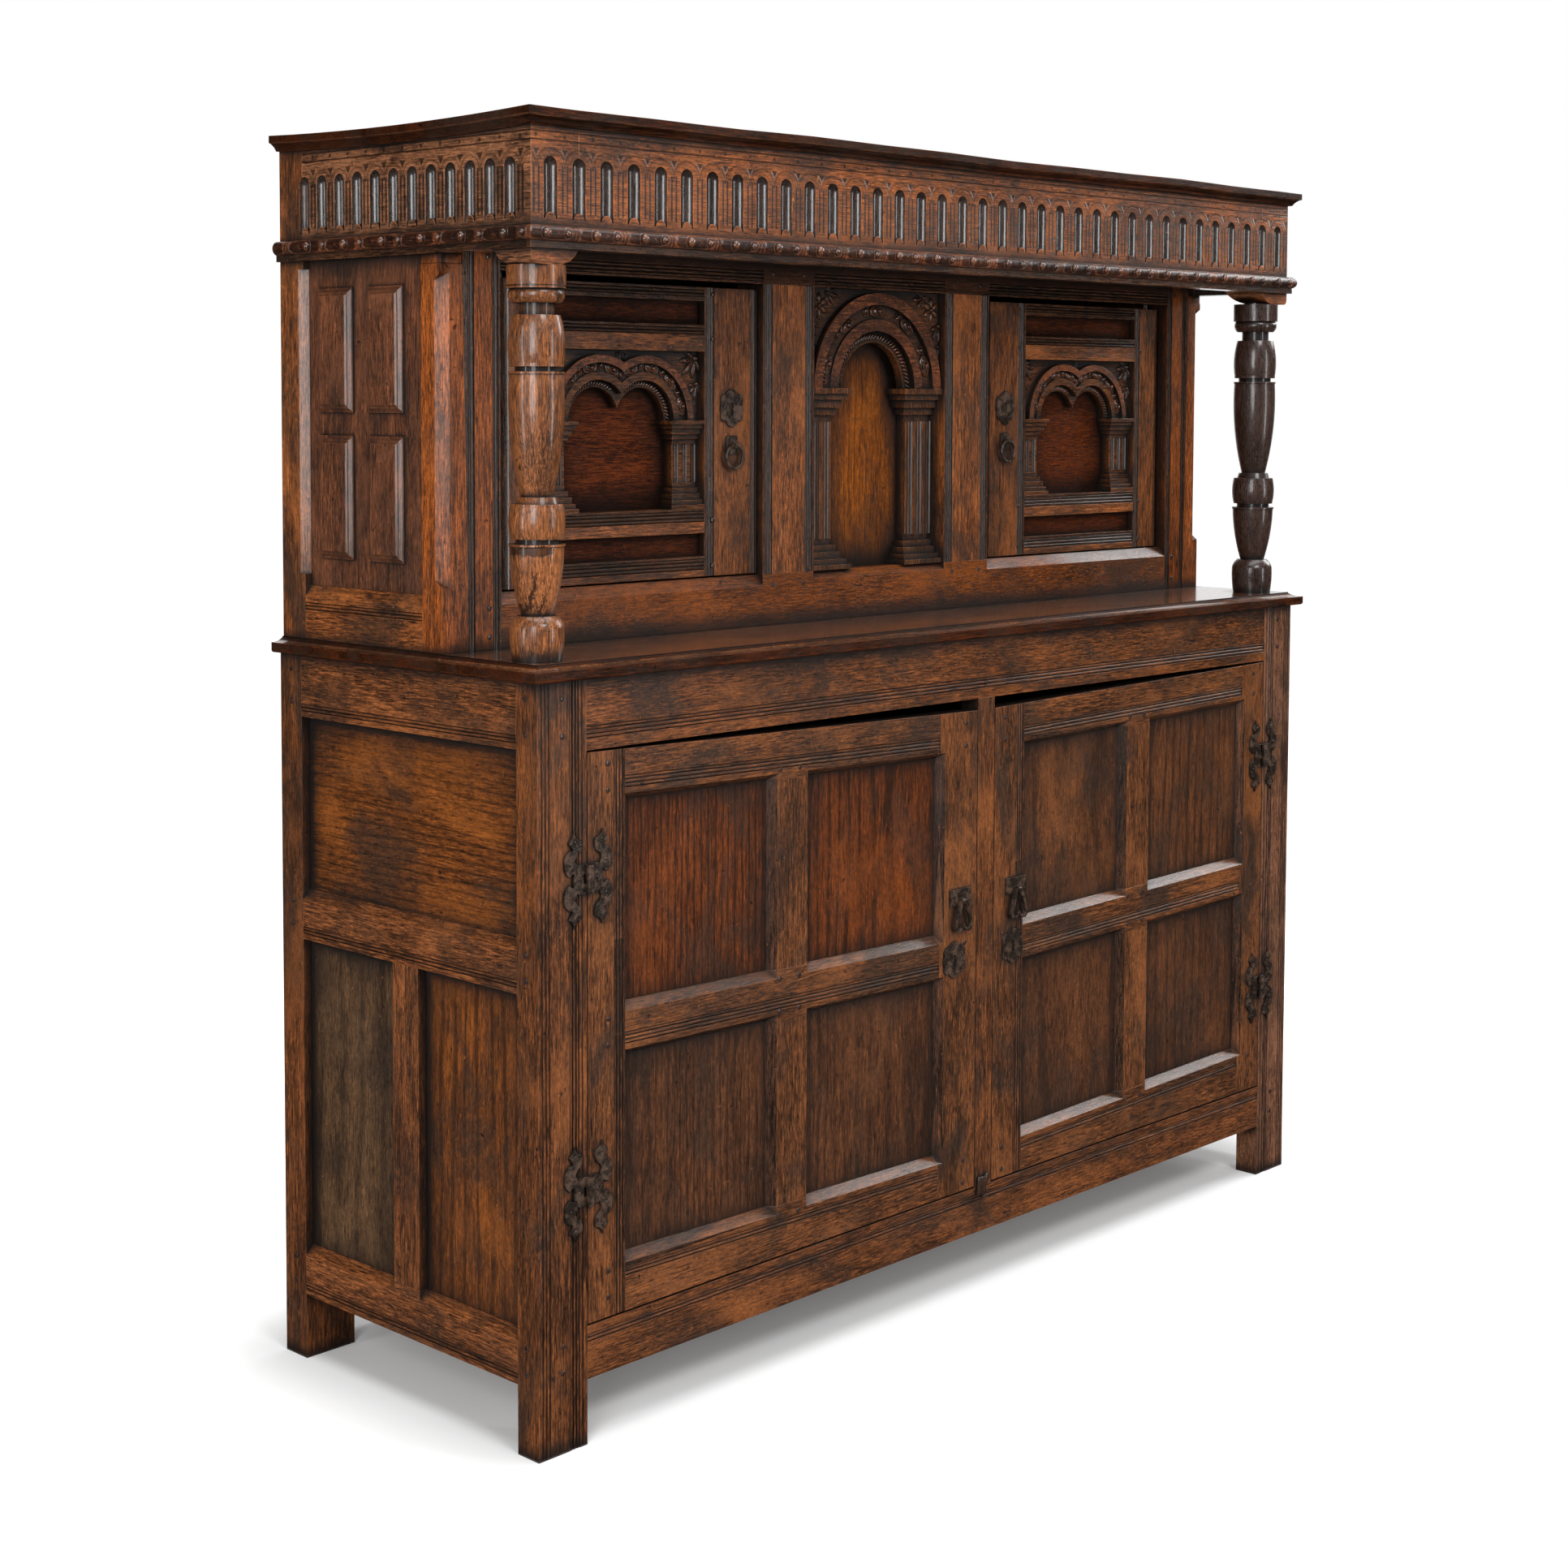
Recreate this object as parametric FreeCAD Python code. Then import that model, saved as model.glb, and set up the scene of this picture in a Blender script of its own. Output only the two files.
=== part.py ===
import FreeCAD, Part
import math
import os

# Court cupboard in joined oak: a panelled lower stage with two doors, a set back upper
# stage with two more doors and a fixed arch between them, and a fluted canopy on two
# turned balusters. Lengths in millimetres. The front faces -Y, +X is to the right as seen
# from the front, the floor is z = 0 and the origin is under the middle of the whole.

# Overall sizes
carcase_width = 1600.0
carcase_depth = 508.0
lower_frame_height = 924.0
mid_board_thickness = 20.0
mid_board_overhang = 14.0
upper_stage_height = 623.0
top_board_thickness = 19.0
upper_side_inset = 5.0
upper_setback_depth = 180.0
canopy_setback_depth = 14.0

# Shop values shared by many pieces
overrun = 4.0
tenon_thickness = 10.0
tenon_length = 34.0
tenon_shoulder = 9.0
groove_depth = 8.0
panel_clearance = 0.2
plank_gap = 0.4
reed_width = 5.0
reed_depth = 2.6
reed_sink = 0.4

# Lower stage frame
stile_width = 76.0
front_stile_depth = 38.0
back_stile_depth = 45.0
rail_thickness = 30.0
foot_height = 80.0
bottom_rail_height = 65.0
top_rail_height = 86.0
top_rail_reed_rise = 14.0
bottom_rail_reed_drop = 20.0
stile_reed_inset = 12.0
centre_muntin_width = 36.0
centre_muntin_offset = 22.0
lower_panel_thickness = 10.0
lower_panel_recess = 12.0

# Lower stage sides
side_top_rail_height = 81.0
side_mid_rail_bottom = 554.0
side_mid_rail_height = 64.0
side_bottom_rail_lift = 5.0
side_muntin_width = 51.0
side_chamfer = 12.0

# Lower stage back and floor
back_board_thickness = 12.0
back_board_inset = 6.0
back_board_count = 5
floor_board_thickness = 16.0
floor_board_count = 3
floor_bearer_height = 22.0
floor_bearer_width = 40.0
floor_bearer_count = 3

# Lower doors
lower_door_thickness = 28.0
lower_door_gap = 1.5
lower_door_sag = 14.0
lower_door_top_gap = 2.5
lower_hanging_stile_width = 60.0
left_meeting_stile_width = 79.0
right_meeting_stile_width = 66.0
lower_door_muntin_width = 66.0
left_muntin_place_share = 0.49
right_muntin_place_share = 0.49
lower_door_top_rail_height = 62.0
lower_door_mid_rail_top = 528.0
lower_door_mid_rail_height = 66.0
lower_door_bottom_rail_height = 72.0
lower_door_splay_right = 10.0
lower_door_splay_top = 8.0
lower_door_splay_bottom = 11.0
lower_door_reed_rise = 7.0

# Mid board, top board and bead moulding
mid_board_chamfer = 2.0
mid_board_edge_height = 13.0
mid_board_step_width = 3.0
mid_board_hollow_width = 14.0
mid_board_top_step_height = 1.6
mid_board_hollow_share = 0.26
mid_board_plank_count = 3
top_board_overhang = 16.0
top_board_fillet = 9.0
top_board_hollow_width = 11.0
top_board_plank_count = 2
bead_bottom_fillet_height = 8.0
bead_bottom_fillet_reach = 6.0
bead_torus_height = 18.0
bead_torus_root_height = 5.0
bead_torus_reach = 12.0

# Upper stage frame
upper_stile_width = 92.0
upper_stile_depth = 39.0
upper_stile_horn_width = 33.0
upper_stile_horn_drop = 27.0
corner_chamfer = 13.0
corner_chamfer_foot = 65.0
corner_chamfer_head = 24.0
corner_chamfer_stop = 26.0
upper_sill_height = 69.0
upper_sill_thickness = 46.0
upper_sill_slope_height = 15.0
upper_sill_slope_depth = 11.0
centre_sill_slope_height = 10.0
upper_head_height = 32.0
upper_head_bottom_drop = 159.0
upper_muntin_width = 101.0
upper_muntin_depth = 50.0
centre_opening_width = 282.0
muntin_reed_inset = 3.0
upper_back_stile_width = 49.0
upper_back_stile_depth = 60.0
upper_side_recess = 10.0
upper_side_board_thickness = 14.0
upper_side_slope_height = 14.0
block_front_margin = 44.5
block_back_margin = 22.5
block_gap_width = 31.0
block_gap_height = 29.0
block_margin_height = 35.5
block_rise_height = 8.0
block_border_width = 10.0
block_border_shares = ((0.0, 0.0), (0.0, 0.34), (0.22, 0.34), (0.60, 0.76), (0.80, 0.76), (1.0, 1.0))

# Canopy
canopy_height = 142.0
frieze_thickness = 22.0
corner_block_width = 73.0
corner_block_depth = 68.0
corner_block_drop = 18.0
corner_block_round_width = 32.0
corner_block_round_height = 20.0
corner_block_outer_round = 8.0
soffit_thickness = 10.0
soffit_drop = 127.0
soffit_board_count = 3
flute_width = 21.0
flute_depth = 8.5
flute_foot = 34.0
flute_head = 106.0
flute_tab_radius = 8.0
front_flute_count = 36
front_flute_end_inset = 29.4
side_flute_count = 12
side_flute_front_inset = 37.5
side_flute_back_inset = 53.9
corner_front_flute_count = 3
corner_side_flute_count = 2

# Balusters
baluster_neck_radius = 18.7
baluster_body_radius = 33.5
baluster_groove_radius = 25.5
baluster_base_radius = 32.0
baluster_shoulder_radius = 24.0
baluster_capital_radius = 35.0
baluster_base_height = 40.0
baluster_shoulder_height = 13.0
baluster_vase_height = 82.0
baluster_ring_height = 2.5
baluster_groove_height = 6.0
baluster_barrel_height = 41.0
baluster_collar_height = 8.0
baluster_long_vase_height = 144.0
baluster_lip_height = 4.0
baluster_tall_barrel_height = 56.0
baluster_high_neck_height = 14.0
baluster_torus_height = 17.0
baluster_high_neck_radius = 21.0

# Upper doors
upper_door_thickness = 40.0
upper_door_recess = 10.0
upper_door_gap = 2.0
upper_door_top_gap = 8.0
upper_door_bottom_gap = 2.5
upper_meeting_stile_width = 100.0
upper_hanging_stile_width = 74.0
upper_door_top_rail_height = 18.0
upper_door_bottom_rail_height = 27.0
upper_door_top_strip_height = 32.0
upper_door_high_rail_height = 35.0
upper_door_low_rail_height = 33.0
upper_door_low_strip_height = 31.0
strip_recess = 10.0
strip_thickness = 8.0
pivot_radius = 5.0
pivot_length = 22.0
pivot_clearance = 0.08
pivot_end_gap = 1.0

# Arches and pilasters
arch_board_thickness = 26.0
arch_board_recess = 4.0
arch_back_thickness = 8.0
door_arch_back_recess = 30.0
centre_arch_back_recess = 40.0
door_arch_inner_radius = 43.5
door_arch_outer_radius = 85.0
door_arch_spread = 40.0
door_arch_spring_rise = 117.0
door_cap_height = 31.0
door_base_height = 35.0
door_pilaster_width = 60.0
door_shaft_width = 47.0
door_shaft_setback = 14.0
centre_arch_inner_radius = 66.0
centre_arch_outer_radius = 136.0
centre_arch_spring_rise = 255.0
centre_cap_height = 47.0
centre_base_height = 42.0
centre_pilaster_width = 84.0
centre_shaft_width = 61.0
centre_shaft_setback = 20.0
arch_channel_depth = 7.0
arch_channel_inner_share = 0.47
arch_channel_outer_share = 0.76
arch_band_depth = 4.0
arch_rope_share = 0.23
arch_rope_depth = 13.0
spandrel_depth = 8.0
capital_outline_shares = ((0.0, 0.0), (0.0, 0.20), (0.26, 0.20), (0.26, 0.42), (0.52, 0.42),
                          (0.52, 0.66), (0.78, 0.66), (0.78, 0.84), (1.0, 0.84), (1.0, 1.0))
shaft_flute_count = 3
shaft_flute_share = 0.62

# Ironwork of the lower doors
hinge_leaf_thickness = 2.6
hinge_pin_radius = 2.6
hinge_running_clearance = 0.08
hinge_barrel_radius = 5.2
hinge_barrel_standoff = 5.4
hinge_knuckle_length = 11.0
hinge_knuckle_gap = 0.3
hinge_leaf_width = 37.0
hinge_leaf_half_height = 57.0
hinge_plate_shares = ((0.40, 0.31), (0.60, 0.15))
hinge_head_shares = ((0.47, 0.22), ((0.485, 0.316), (0.568, 0.388)), ((0.503, 0.496), (0.365, 0.560)),
                     ((0.281, 0.686), (0.297, 0.821)), ((0.492, 0.866), (0.608, 1.0)),
                     ((0.676, 0.875), (0.846, 0.803)), ((0.743, 0.731), (0.635, 0.632)),
                     ((0.932, 0.542), (1.0, 0.361)), ((0.968, 0.208), (0.784, 0.090)),
                     ((0.649, 0.144), (0.47, 0.126)))
lower_hinge_low_centre = 310.0
lower_hinge_high_centre = 686.0
plate_thickness = 2.0
handle_plate_width = 44.0
handle_plate_height = 23.0
lower_handle_height = 559.0
lower_handle_inset = 36.0
lug_width = 7.0
lug_height = 8.0
lug_reach = 11.0
loop_wire_radius = 2.2
loop_bar_half_length = 6.5
loop_width = 35.0
loop_height = 42.0
loop_cusp_height = 7.0
loop_shoulder_share = 0.78
loop_cusp_half_width = 1.3
loop_clearance = 0.09
escutcheon_width = 46.0
escutcheon_height = 50.0
escutcheon_drop = 81.0
left_escutcheon_offset = 12.0
right_escutcheon_offset = 6.0
right_handle_offset = 12.0
keyhole_radius = 3.2
keyhole_slot_width = 3.6
keyhole_slot_length = 13.0
keyhole_rise_share = 0.33
escutcheon_shares = ((-0.5, 0.72), ((0.0, 1.0), (0.5, 0.72)), ((0.86, 0.66), (0.93, 0.30)),
                     ((1.0, 0.0), (0.93, -0.30)), ((0.80, -0.68), (0.5, -0.66)),
                     ((0.0, -1.0), (-0.5, -0.66)), ((-0.80, -0.68), (-0.93, -0.30)),
                     ((-1.0, 0.0), (-0.93, 0.30)), ((-0.86, 0.66), (-0.5, 0.72)))

# Ironwork of the upper doors
ring_radius = 15.5
ring_wire_radius = 2.3
ring_lug_width = 4.4
ring_clearance = 0.22
ring_height = 246.0
upper_escutcheon_width = 42.0
upper_escutcheon_height = 50.0
upper_escutcheon_rise = 50.0
upper_plate_width = 20.0
upper_plate_height = 24.0

# Derived places
half_width = carcase_width / 2
upper_width = carcase_width - 2 * upper_side_inset
upper_half_width = upper_width / 2
front_y = mid_board_overhang - (carcase_depth + mid_board_overhang) / 2
back_y = front_y + carcase_depth
upper_base_z = lower_frame_height + mid_board_thickness
cornice_z = upper_base_z + upper_stage_height
upper_front_y = front_y + upper_setback_depth
frieze_y = front_y + canopy_setback_depth
canopy_bottom_z = cornice_z - canopy_height
bead_bottom_z = canopy_bottom_z
head_bottom_z = cornice_z - upper_head_bottom_drop
sill_top_z = upper_base_z + upper_sill_height
lower_opening_bottom_z = foot_height + bottom_rail_height
lower_opening_top_z = lower_frame_height - top_rail_height
inner_stile_x = half_width - stile_width
upper_inner_x = upper_half_width - upper_stile_width
centre_half = centre_opening_width / 2
upper_muntin_outer_x = centre_half + upper_muntin_width
origin = FreeCAD.Vector(0, 0, 0)
along_x = FreeCAD.Vector(1, 0, 0)
along_y = FreeCAD.Vector(0, 1, 0)
along_z = FreeCAD.Vector(0, 0, 1)


# Basic solids

def block(x0, x1, y0, y1, z0, z1):
    """A rectangular block between two corners."""
    return Part.makeBox(x1 - x0, y1 - y0, z1 - z0, FreeCAD.Vector(x0, y0, z0))


def place(plane, a, b, level):
    """A point from two coordinates in a plane and the level across it."""
    if plane == "xy":
        return FreeCAD.Vector(a, b, level)
    if plane == "xz":
        return FreeCAD.Vector(a, level, b)
    return FreeCAD.Vector(level, a, b)


def flat(plane, steps, level):
    """A face from a start point and steps: a point for a line, two points for an arc."""
    edges = []
    here = place(plane, *steps[0], level)
    first = here
    for step in steps[1:] + [steps[0]]:
        if isinstance(step[0], tuple):
            middle = place(plane, *step[0], level)
            there = place(plane, *step[1], level)
            edges.append(Part.Arc(here, middle, there).toShape())
        else:
            there = place(plane, *step, level)
            if there.distanceToPoint(here) > Part.Precision.confusion():
                edges.append(Part.LineSegment(here, there).toShape())
        here = there
    if here.distanceToPoint(first) > Part.Precision.confusion():
        edges.append(Part.LineSegment(here, first).toShape())
    return Part.Face(Part.Wire(edges))


def prism(plane, steps, start, end):
    """The outline in one plane, drawn out across it from start to end."""
    normal = {"xy": along_z, "xz": along_y, "yz": along_x}[plane]
    return flat(plane, steps, start).extrude(normal * (end - start))


def rod(radius, x, y, z, length, direction):
    """A round bar from a point along a direction."""
    return Part.makeCylinder(radius, length, FreeCAD.Vector(x, y, z), direction)


def mirrored(shape):
    """The same piece on the other side of the middle."""
    return shape.mirror(origin, along_x)


def rising_arc(x, z, wide, tall):
    """Arc step that leaves level at a point and rises to the far corner of a box."""
    radius = (wide ** 2 + tall ** 2) / (2 * tall)
    half = math.asin(abs(wide) / radius) / 2
    out = math.copysign(radius * math.sin(half), wide)
    return ((x + out, z + radius * (1 - math.cos(half))), (x + wide, z + tall))


def joined(shapes):
    """One solid from pieces that meet."""
    result = shapes[0].fuse(shapes[1:]) if len(shapes) > 1 else shapes[0]
    return result.removeSplitter()


def less(shape, tools):
    """The shape with every tool cut away."""
    return shape.cut(tools) if tools else shape


def on_left_side(shape):
    """A piece drawn as seen from the front, turned to face the left side."""
    turned = shape.copy()
    turned.rotate(origin, along_z, -90)
    turned.translate(FreeCAD.Vector(-half_width, 0, 0))
    return turned


def side_u(y):
    """Where a depth lies in the drawing of the left side."""
    return -y


# Edge treatments, as cutting tools

def reed_steps(low, count, face):
    """Outline of the waste over a band of half round reeds, with the face at the front."""
    high = low + count * reed_width
    steps = [(face - overrun, low), (face - overrun, high), (face + reed_depth, high)]
    for index in range(count):
        top = high - index * reed_width
        steps.append(((face + reed_sink, top - reed_width / 2), (face + reed_depth, top - reed_width)))
    return steps


def level_reeds(x0, x1, low, count, face):
    """Reeds run along X."""
    return prism("yz", reed_steps(low, count, face), x0, x1)


def upright_reeds(low, count, face, z0, z1):
    """Reeds run up, in a band that starts at the given place across the face."""
    steps = [(low, face - overrun)]
    steps += [(low, face + reed_depth)]
    for index in range(count):
        left = low + index * reed_width
        crown = (left + reed_width / 2, face + reed_sink)
        steps.append((crown, (left + reed_width, face + reed_depth)))
    steps.append((low + count * reed_width, face - overrun))
    return prism("xy", steps, z0, z1)


def sill_slope(x0, x1, top, face, height, depth):
    """Waste above a sloped top edge."""
    steps = [(face - overrun, top - height), (face, top - height), (face + depth, top),
             (face + depth, top + overrun), (face - overrun, top + overrun)]
    return prism("yz", steps, x0, x1)


def splay(x0, x1, z0, z1, face, depth):
    """Waste of one panel opening: sloped on the right, the top and the bottom."""
    def ring(y, right, low, high):
        corners = [(x0, z0 - low), (x1 + right, z0 - low), (x1 + right, z1 + high), (x0, z1 + high)]
        points = [FreeCAD.Vector(x, y, z) for x, z in corners]
        return Part.makePolygon(points + [points[0]])
    front = ring(face, lower_door_splay_right, lower_door_splay_bottom, lower_door_splay_top)
    back = ring(face + depth, 0, 0, 0)
    return Part.makeLoft([front, back], True, True)


# Framing

def rail(x0, x1, z0, z1, face, thickness):
    """A level member with a tenon at each end."""
    body = block(x0, x1, face, face + thickness, z0, z1)
    return joined([body] + end_tenons(x0, x1, z0, z1, face, thickness))


def end_tenons(x0, x1, z0, z1, face, thickness):
    """The two tenons of a level member."""
    y0 = face + (thickness - tenon_thickness) / 2
    y1 = y0 + tenon_thickness
    low = z0 + tenon_shoulder
    high = z1 - tenon_shoulder
    if high - low < tenon_thickness:
        low = z0
        high = z1
    return [block(x0 - tenon_length, x0, y0, y1, low, high),
            block(x1, x1 + tenon_length, y0, y1, low, high)]


def upright(x0, x1, z0, z1, face, thickness):
    """An upright member between two rails, with a tenon at each end."""
    body = block(x0, x1, face, face + thickness, z0, z1)
    return joined([body] + foot_tenons(x0, x1, z0, z1, face, thickness))


def foot_tenons(x0, x1, z0, z1, face, thickness):
    """The two tenons of an upright member."""
    y0 = face + (thickness - tenon_thickness) / 2
    y1 = y0 + tenon_thickness
    reach = tenon_length / 2
    left = x0 + tenon_shoulder
    right = x1 - tenon_shoulder
    return [block(left, right, y0, y1, z0 - reach, z0), block(left, right, y0, y1, z1, z1 + reach)]


def panel(x0, x1, z0, z1, y0, thickness, grip):
    """A panel held in grooves round its opening."""
    return block(x0 - grip, x1 + grip, y0, y0 + thickness, z0 - grip, z1 + grip)


def panel_room(x0, x1, z0, z1, y0, thickness, grip):
    """The groove round an opening, a little larger than the panel."""
    free = panel_clearance
    reach = grip + free
    return block(x0 - reach, x1 + reach, y0 - free, y0 + thickness + free, z0 - reach, z1 + reach)


def planks(shape, axis, start, end, count):
    """A board divided into planks with a fine gap between them."""
    bounds = shape.BoundBox
    tools = []
    for index in range(1, count):
        middle = start + (end - start) * index / count
        low = middle - plank_gap / 2
        high = middle + plank_gap / 2
        span = [[bounds.XMin - overrun, bounds.XMax + overrun],
                [bounds.YMin - overrun, bounds.YMax + overrun],
                [bounds.ZMin - overrun, bounds.ZMax + overrun]]
        span[axis] = [low, high]
        tools.append(block(*span[0], *span[1], *span[2]))
    return less(shape, tools)


def edge_moulded_plate(half, y0, y1, low, high, steps):
    """A plate whose front and end edges follow one outline of (inset, height) steps."""
    def shifted(step, place_at):
        if isinstance(step[0], tuple):
            return tuple((place_at(inset), z) for inset, z in step)
        return (place_at(step[0]), step[1])
    front = [shifted(step, lambda inset: y0 + inset) for step in steps]
    front += [(y1, high), (y1, low)]
    left = [shifted(step, lambda inset: inset - half) for step in steps]
    left += [(0, high), (0, low)]
    along = prism("yz", front, -half, half)
    across = prism("xz", left, y0, y1)
    both = joined([across, mirrored(across)])
    return along.common(both)


# Lower stage

def front_rails_lower():
    """Top and bottom rail of the lower front."""
    top = rail(-inner_stile_x, inner_stile_x, lower_opening_top_z, lower_frame_height, front_y,
               rail_thickness)
    low = rail(-inner_stile_x, inner_stile_x, foot_height, lower_opening_bottom_z, front_y,
               rail_thickness)
    tenon_room = foot_tenons(*centre_muntin_span(), front_y, rail_thickness)
    band_low = lower_opening_top_z + top_rail_reed_rise
    top = less(top, tenon_room + [level_reeds(-inner_stile_x, inner_stile_x, band_low, 3, front_y)])
    band_low = lower_opening_bottom_z - bottom_rail_reed_drop
    low = less(low, tenon_room + [level_reeds(-inner_stile_x, inner_stile_x, band_low, 2, front_y)])
    return top, low


def centre_muntin_span():
    """Left, right, bottom and top of the muntin between the lower doors."""
    left = centre_muntin_offset - centre_muntin_width / 2
    return left, left + centre_muntin_width, lower_opening_bottom_z, lower_opening_top_z


def side_rail_spans():
    """Bottom and top of the side rails, lowest first."""
    low = foot_height + side_bottom_rail_lift
    return [(low, low + bottom_rail_height),
            (side_mid_rail_bottom, side_mid_rail_bottom + side_mid_rail_height),
            (lower_frame_height - side_top_rail_height, lower_frame_height)]


def side_reach():
    """Left and right end of the side opening, drawn as seen from the left side."""
    return side_u(back_y - back_stile_depth), side_u(front_y + front_stile_depth)


def side_muntin_span():
    """Span of the muntin in the lower half of the side."""
    left, right = side_reach()
    middle = (left + right) / 2
    spans = side_rail_spans()
    return middle - side_muntin_width / 2, middle + side_muntin_width / 2, spans[0][1], spans[1][0]


def side_openings():
    """The three panel openings of a side: two below, one above."""
    left, right = side_reach()
    spans = side_rail_spans()
    muntin = side_muntin_span()
    return [(left, muntin[0], muntin[2], muntin[3]), (muntin[1], right, muntin[2], muntin[3]),
            (left, right, spans[1][1], spans[2][0])]


def side_grooves():
    """Grooves round the three side openings."""
    return [panel_room(*opening, lower_panel_recess, lower_panel_thickness, groove_depth)
            for opening in side_openings()]


def left_side_rails():
    """Three rails of the left side, in their drawing."""
    left, right = side_reach()
    waste = side_grooves() + foot_tenons(*side_muntin_span(), 0, rail_thickness)
    for x0, x1, z0, z1 in side_openings():
        waste.append(sill_slope(x0, x1, z0, 0, side_chamfer, lower_panel_recess))
    pieces = []
    for index, (z0, z1) in enumerate(side_rail_spans()):
        band = z0 + lower_door_reed_rise
        reeds = level_reeds(left, right, band, 2, 0)
        pieces.append(less(rail(left, right, z0, z1, 0, rail_thickness), waste + [reeds]))
    return pieces


def left_side_muntin():
    """The muntin of the left side, in its drawing."""
    return less(upright(*side_muntin_span(), 0, rail_thickness), side_grooves())


def left_side_panels():
    """Three panels of the left side, in their drawing."""
    return [panel(*opening, lower_panel_recess, lower_panel_thickness, groove_depth)
            for opening in side_openings()]


def side_tenon_room():
    """Mortises that the side rails need in the stiles, in place on the left."""
    left, right = side_reach()
    room = []
    for z0, z1 in side_rail_spans():
        room += end_tenons(left, right, z0, z1, 0, rail_thickness)
    return [on_left_side(tool) for tool in room + side_grooves()]


def lower_front_stile():
    """Left front stile with its foot, mortised for the front and side rails."""
    body = block(-half_width, -inner_stile_x, front_y, front_y + front_stile_depth, 0,
                 lower_frame_height)
    waste = side_tenon_room()
    for z0, z1 in ((lower_opening_top_z, lower_frame_height), (foot_height, lower_opening_bottom_z)):
        waste += end_tenons(-inner_stile_x, inner_stile_x, z0, z1, front_y, rail_thickness)
    band = -inner_stile_x - stile_reed_inset - 3 * reed_width
    waste.append(upright_reeds(band, 3, front_y, 0, lower_frame_height))
    return less(body, waste)


def back_rail_spans():
    """Bottom and top of the two back rails."""
    spans = side_rail_spans()
    return [spans[0], spans[2]]


def lower_back_envelope():
    """All the lower back boards as one sheet."""
    spans = back_rail_spans()
    y1 = back_y - back_board_inset
    return block(-inner_stile_x - groove_depth, inner_stile_x + groove_depth, y1 - back_board_thickness,
                 y1, spans[0][1] - groove_depth, spans[1][0] + groove_depth)


def lower_back_stile():
    """Left back stile, mortised for the side and back rails and grooved for the boards."""
    body = block(-half_width, -inner_stile_x, back_y - back_stile_depth, back_y, 0, lower_frame_height)
    waste = side_tenon_room() + [lower_back_envelope()]
    for z0, z1 in back_rail_spans():
        waste += end_tenons(-inner_stile_x, inner_stile_x, z0, z1, back_y - rail_thickness, rail_thickness)
    return less(body, waste)


def lower_back_rails():
    """Two rails across the back."""
    return [less(rail(-inner_stile_x, inner_stile_x, z0, z1, back_y - rail_thickness, rail_thickness),
                 [lower_back_envelope()]) for z0, z1 in back_rail_spans()]


def lower_floor():
    """Floor boards of the lower cupboard and the bearers under them."""
    top = lower_opening_bottom_z
    y0 = front_y + rail_thickness
    y1 = back_y - rail_thickness
    inside = half_width - rail_thickness
    boards = block(-inside, inside, y0, y1, top - floor_board_thickness, top)
    waste = []
    for side in (-1, 1):
        corner = sorted((side * inside, side * inner_stile_x))
        waste.append(block(*corner, y0 - overrun, front_y + front_stile_depth, foot_height, cornice_z))
        waste.append(block(*corner, back_y - back_stile_depth, y1 + overrun, foot_height, cornice_z))
    boards = planks(less(boards, waste), 1, y0, y1, floor_board_count)
    bearers = []
    low = top - floor_board_thickness - floor_bearer_height
    for index in range(floor_bearer_count):
        middle = (index - (floor_bearer_count - 1) / 2) * inner_stile_x * 2 / floor_bearer_count
        bearers.append(block(middle - floor_bearer_width / 2, middle + floor_bearer_width / 2, y0, y1,
                             low, top - floor_board_thickness))
    return boards.Solids + bearers


# Lower doors

def lower_door_span(side):
    """Left, right, bottom and top of a lower door; side is -1 for the left one."""
    muntin = centre_muntin_span()
    low = lower_opening_bottom_z + lower_door_top_gap
    high = lower_opening_top_z - lower_door_top_gap
    if side < 0:
        return -inner_stile_x + lower_door_gap, muntin[0] - lower_door_gap, low, high
    return muntin[1] + lower_door_gap, inner_stile_x - lower_door_gap, low, high


def lower_door_members(side):
    """Places of the uprights and rails of a lower door."""
    left, right, low, high = lower_door_span(side)
    if side < 0:
        inner_left = left + lower_hanging_stile_width
        inner_right = right - left_meeting_stile_width
        share = left_muntin_place_share
    else:
        inner_left = left + right_meeting_stile_width
        inner_right = right - lower_hanging_stile_width
        share = right_muntin_place_share
    middle = inner_left + (inner_right - inner_left) * share
    uprights = [(left, inner_left),
                (middle - lower_door_muntin_width / 2, middle + lower_door_muntin_width / 2),
                (inner_right, right)]
    rails = [(low, low + lower_door_bottom_rail_height),
             (lower_door_mid_rail_top - lower_door_mid_rail_height, lower_door_mid_rail_top),
             (high - lower_door_top_rail_height, high)]
    return uprights, rails


def lower_door_openings(side):
    """The four panel openings of a lower door."""
    uprights, rails = lower_door_members(side)
    return [(uprights[i][1], uprights[i + 1][0], rails[j][1], rails[j + 1][0])
            for j in (0, 1) for i in (0, 1)]


def sagged(shape, side):
    """A door piece racked down towards its free edge and planed to clear the sill."""
    left, right, low, high = lower_door_span(side)
    hinge_x = left if side < 0 else right
    rise = side * lower_door_sag / (right - left)
    rack = FreeCAD.Matrix()
    rack.A31 = rise
    rack.A34 = -rise * hinge_x
    room = block(left, right, front_y - overrun, front_y + lower_door_thickness + overrun, low, high)
    return shape.transformGeometry(rack).common(room)


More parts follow.
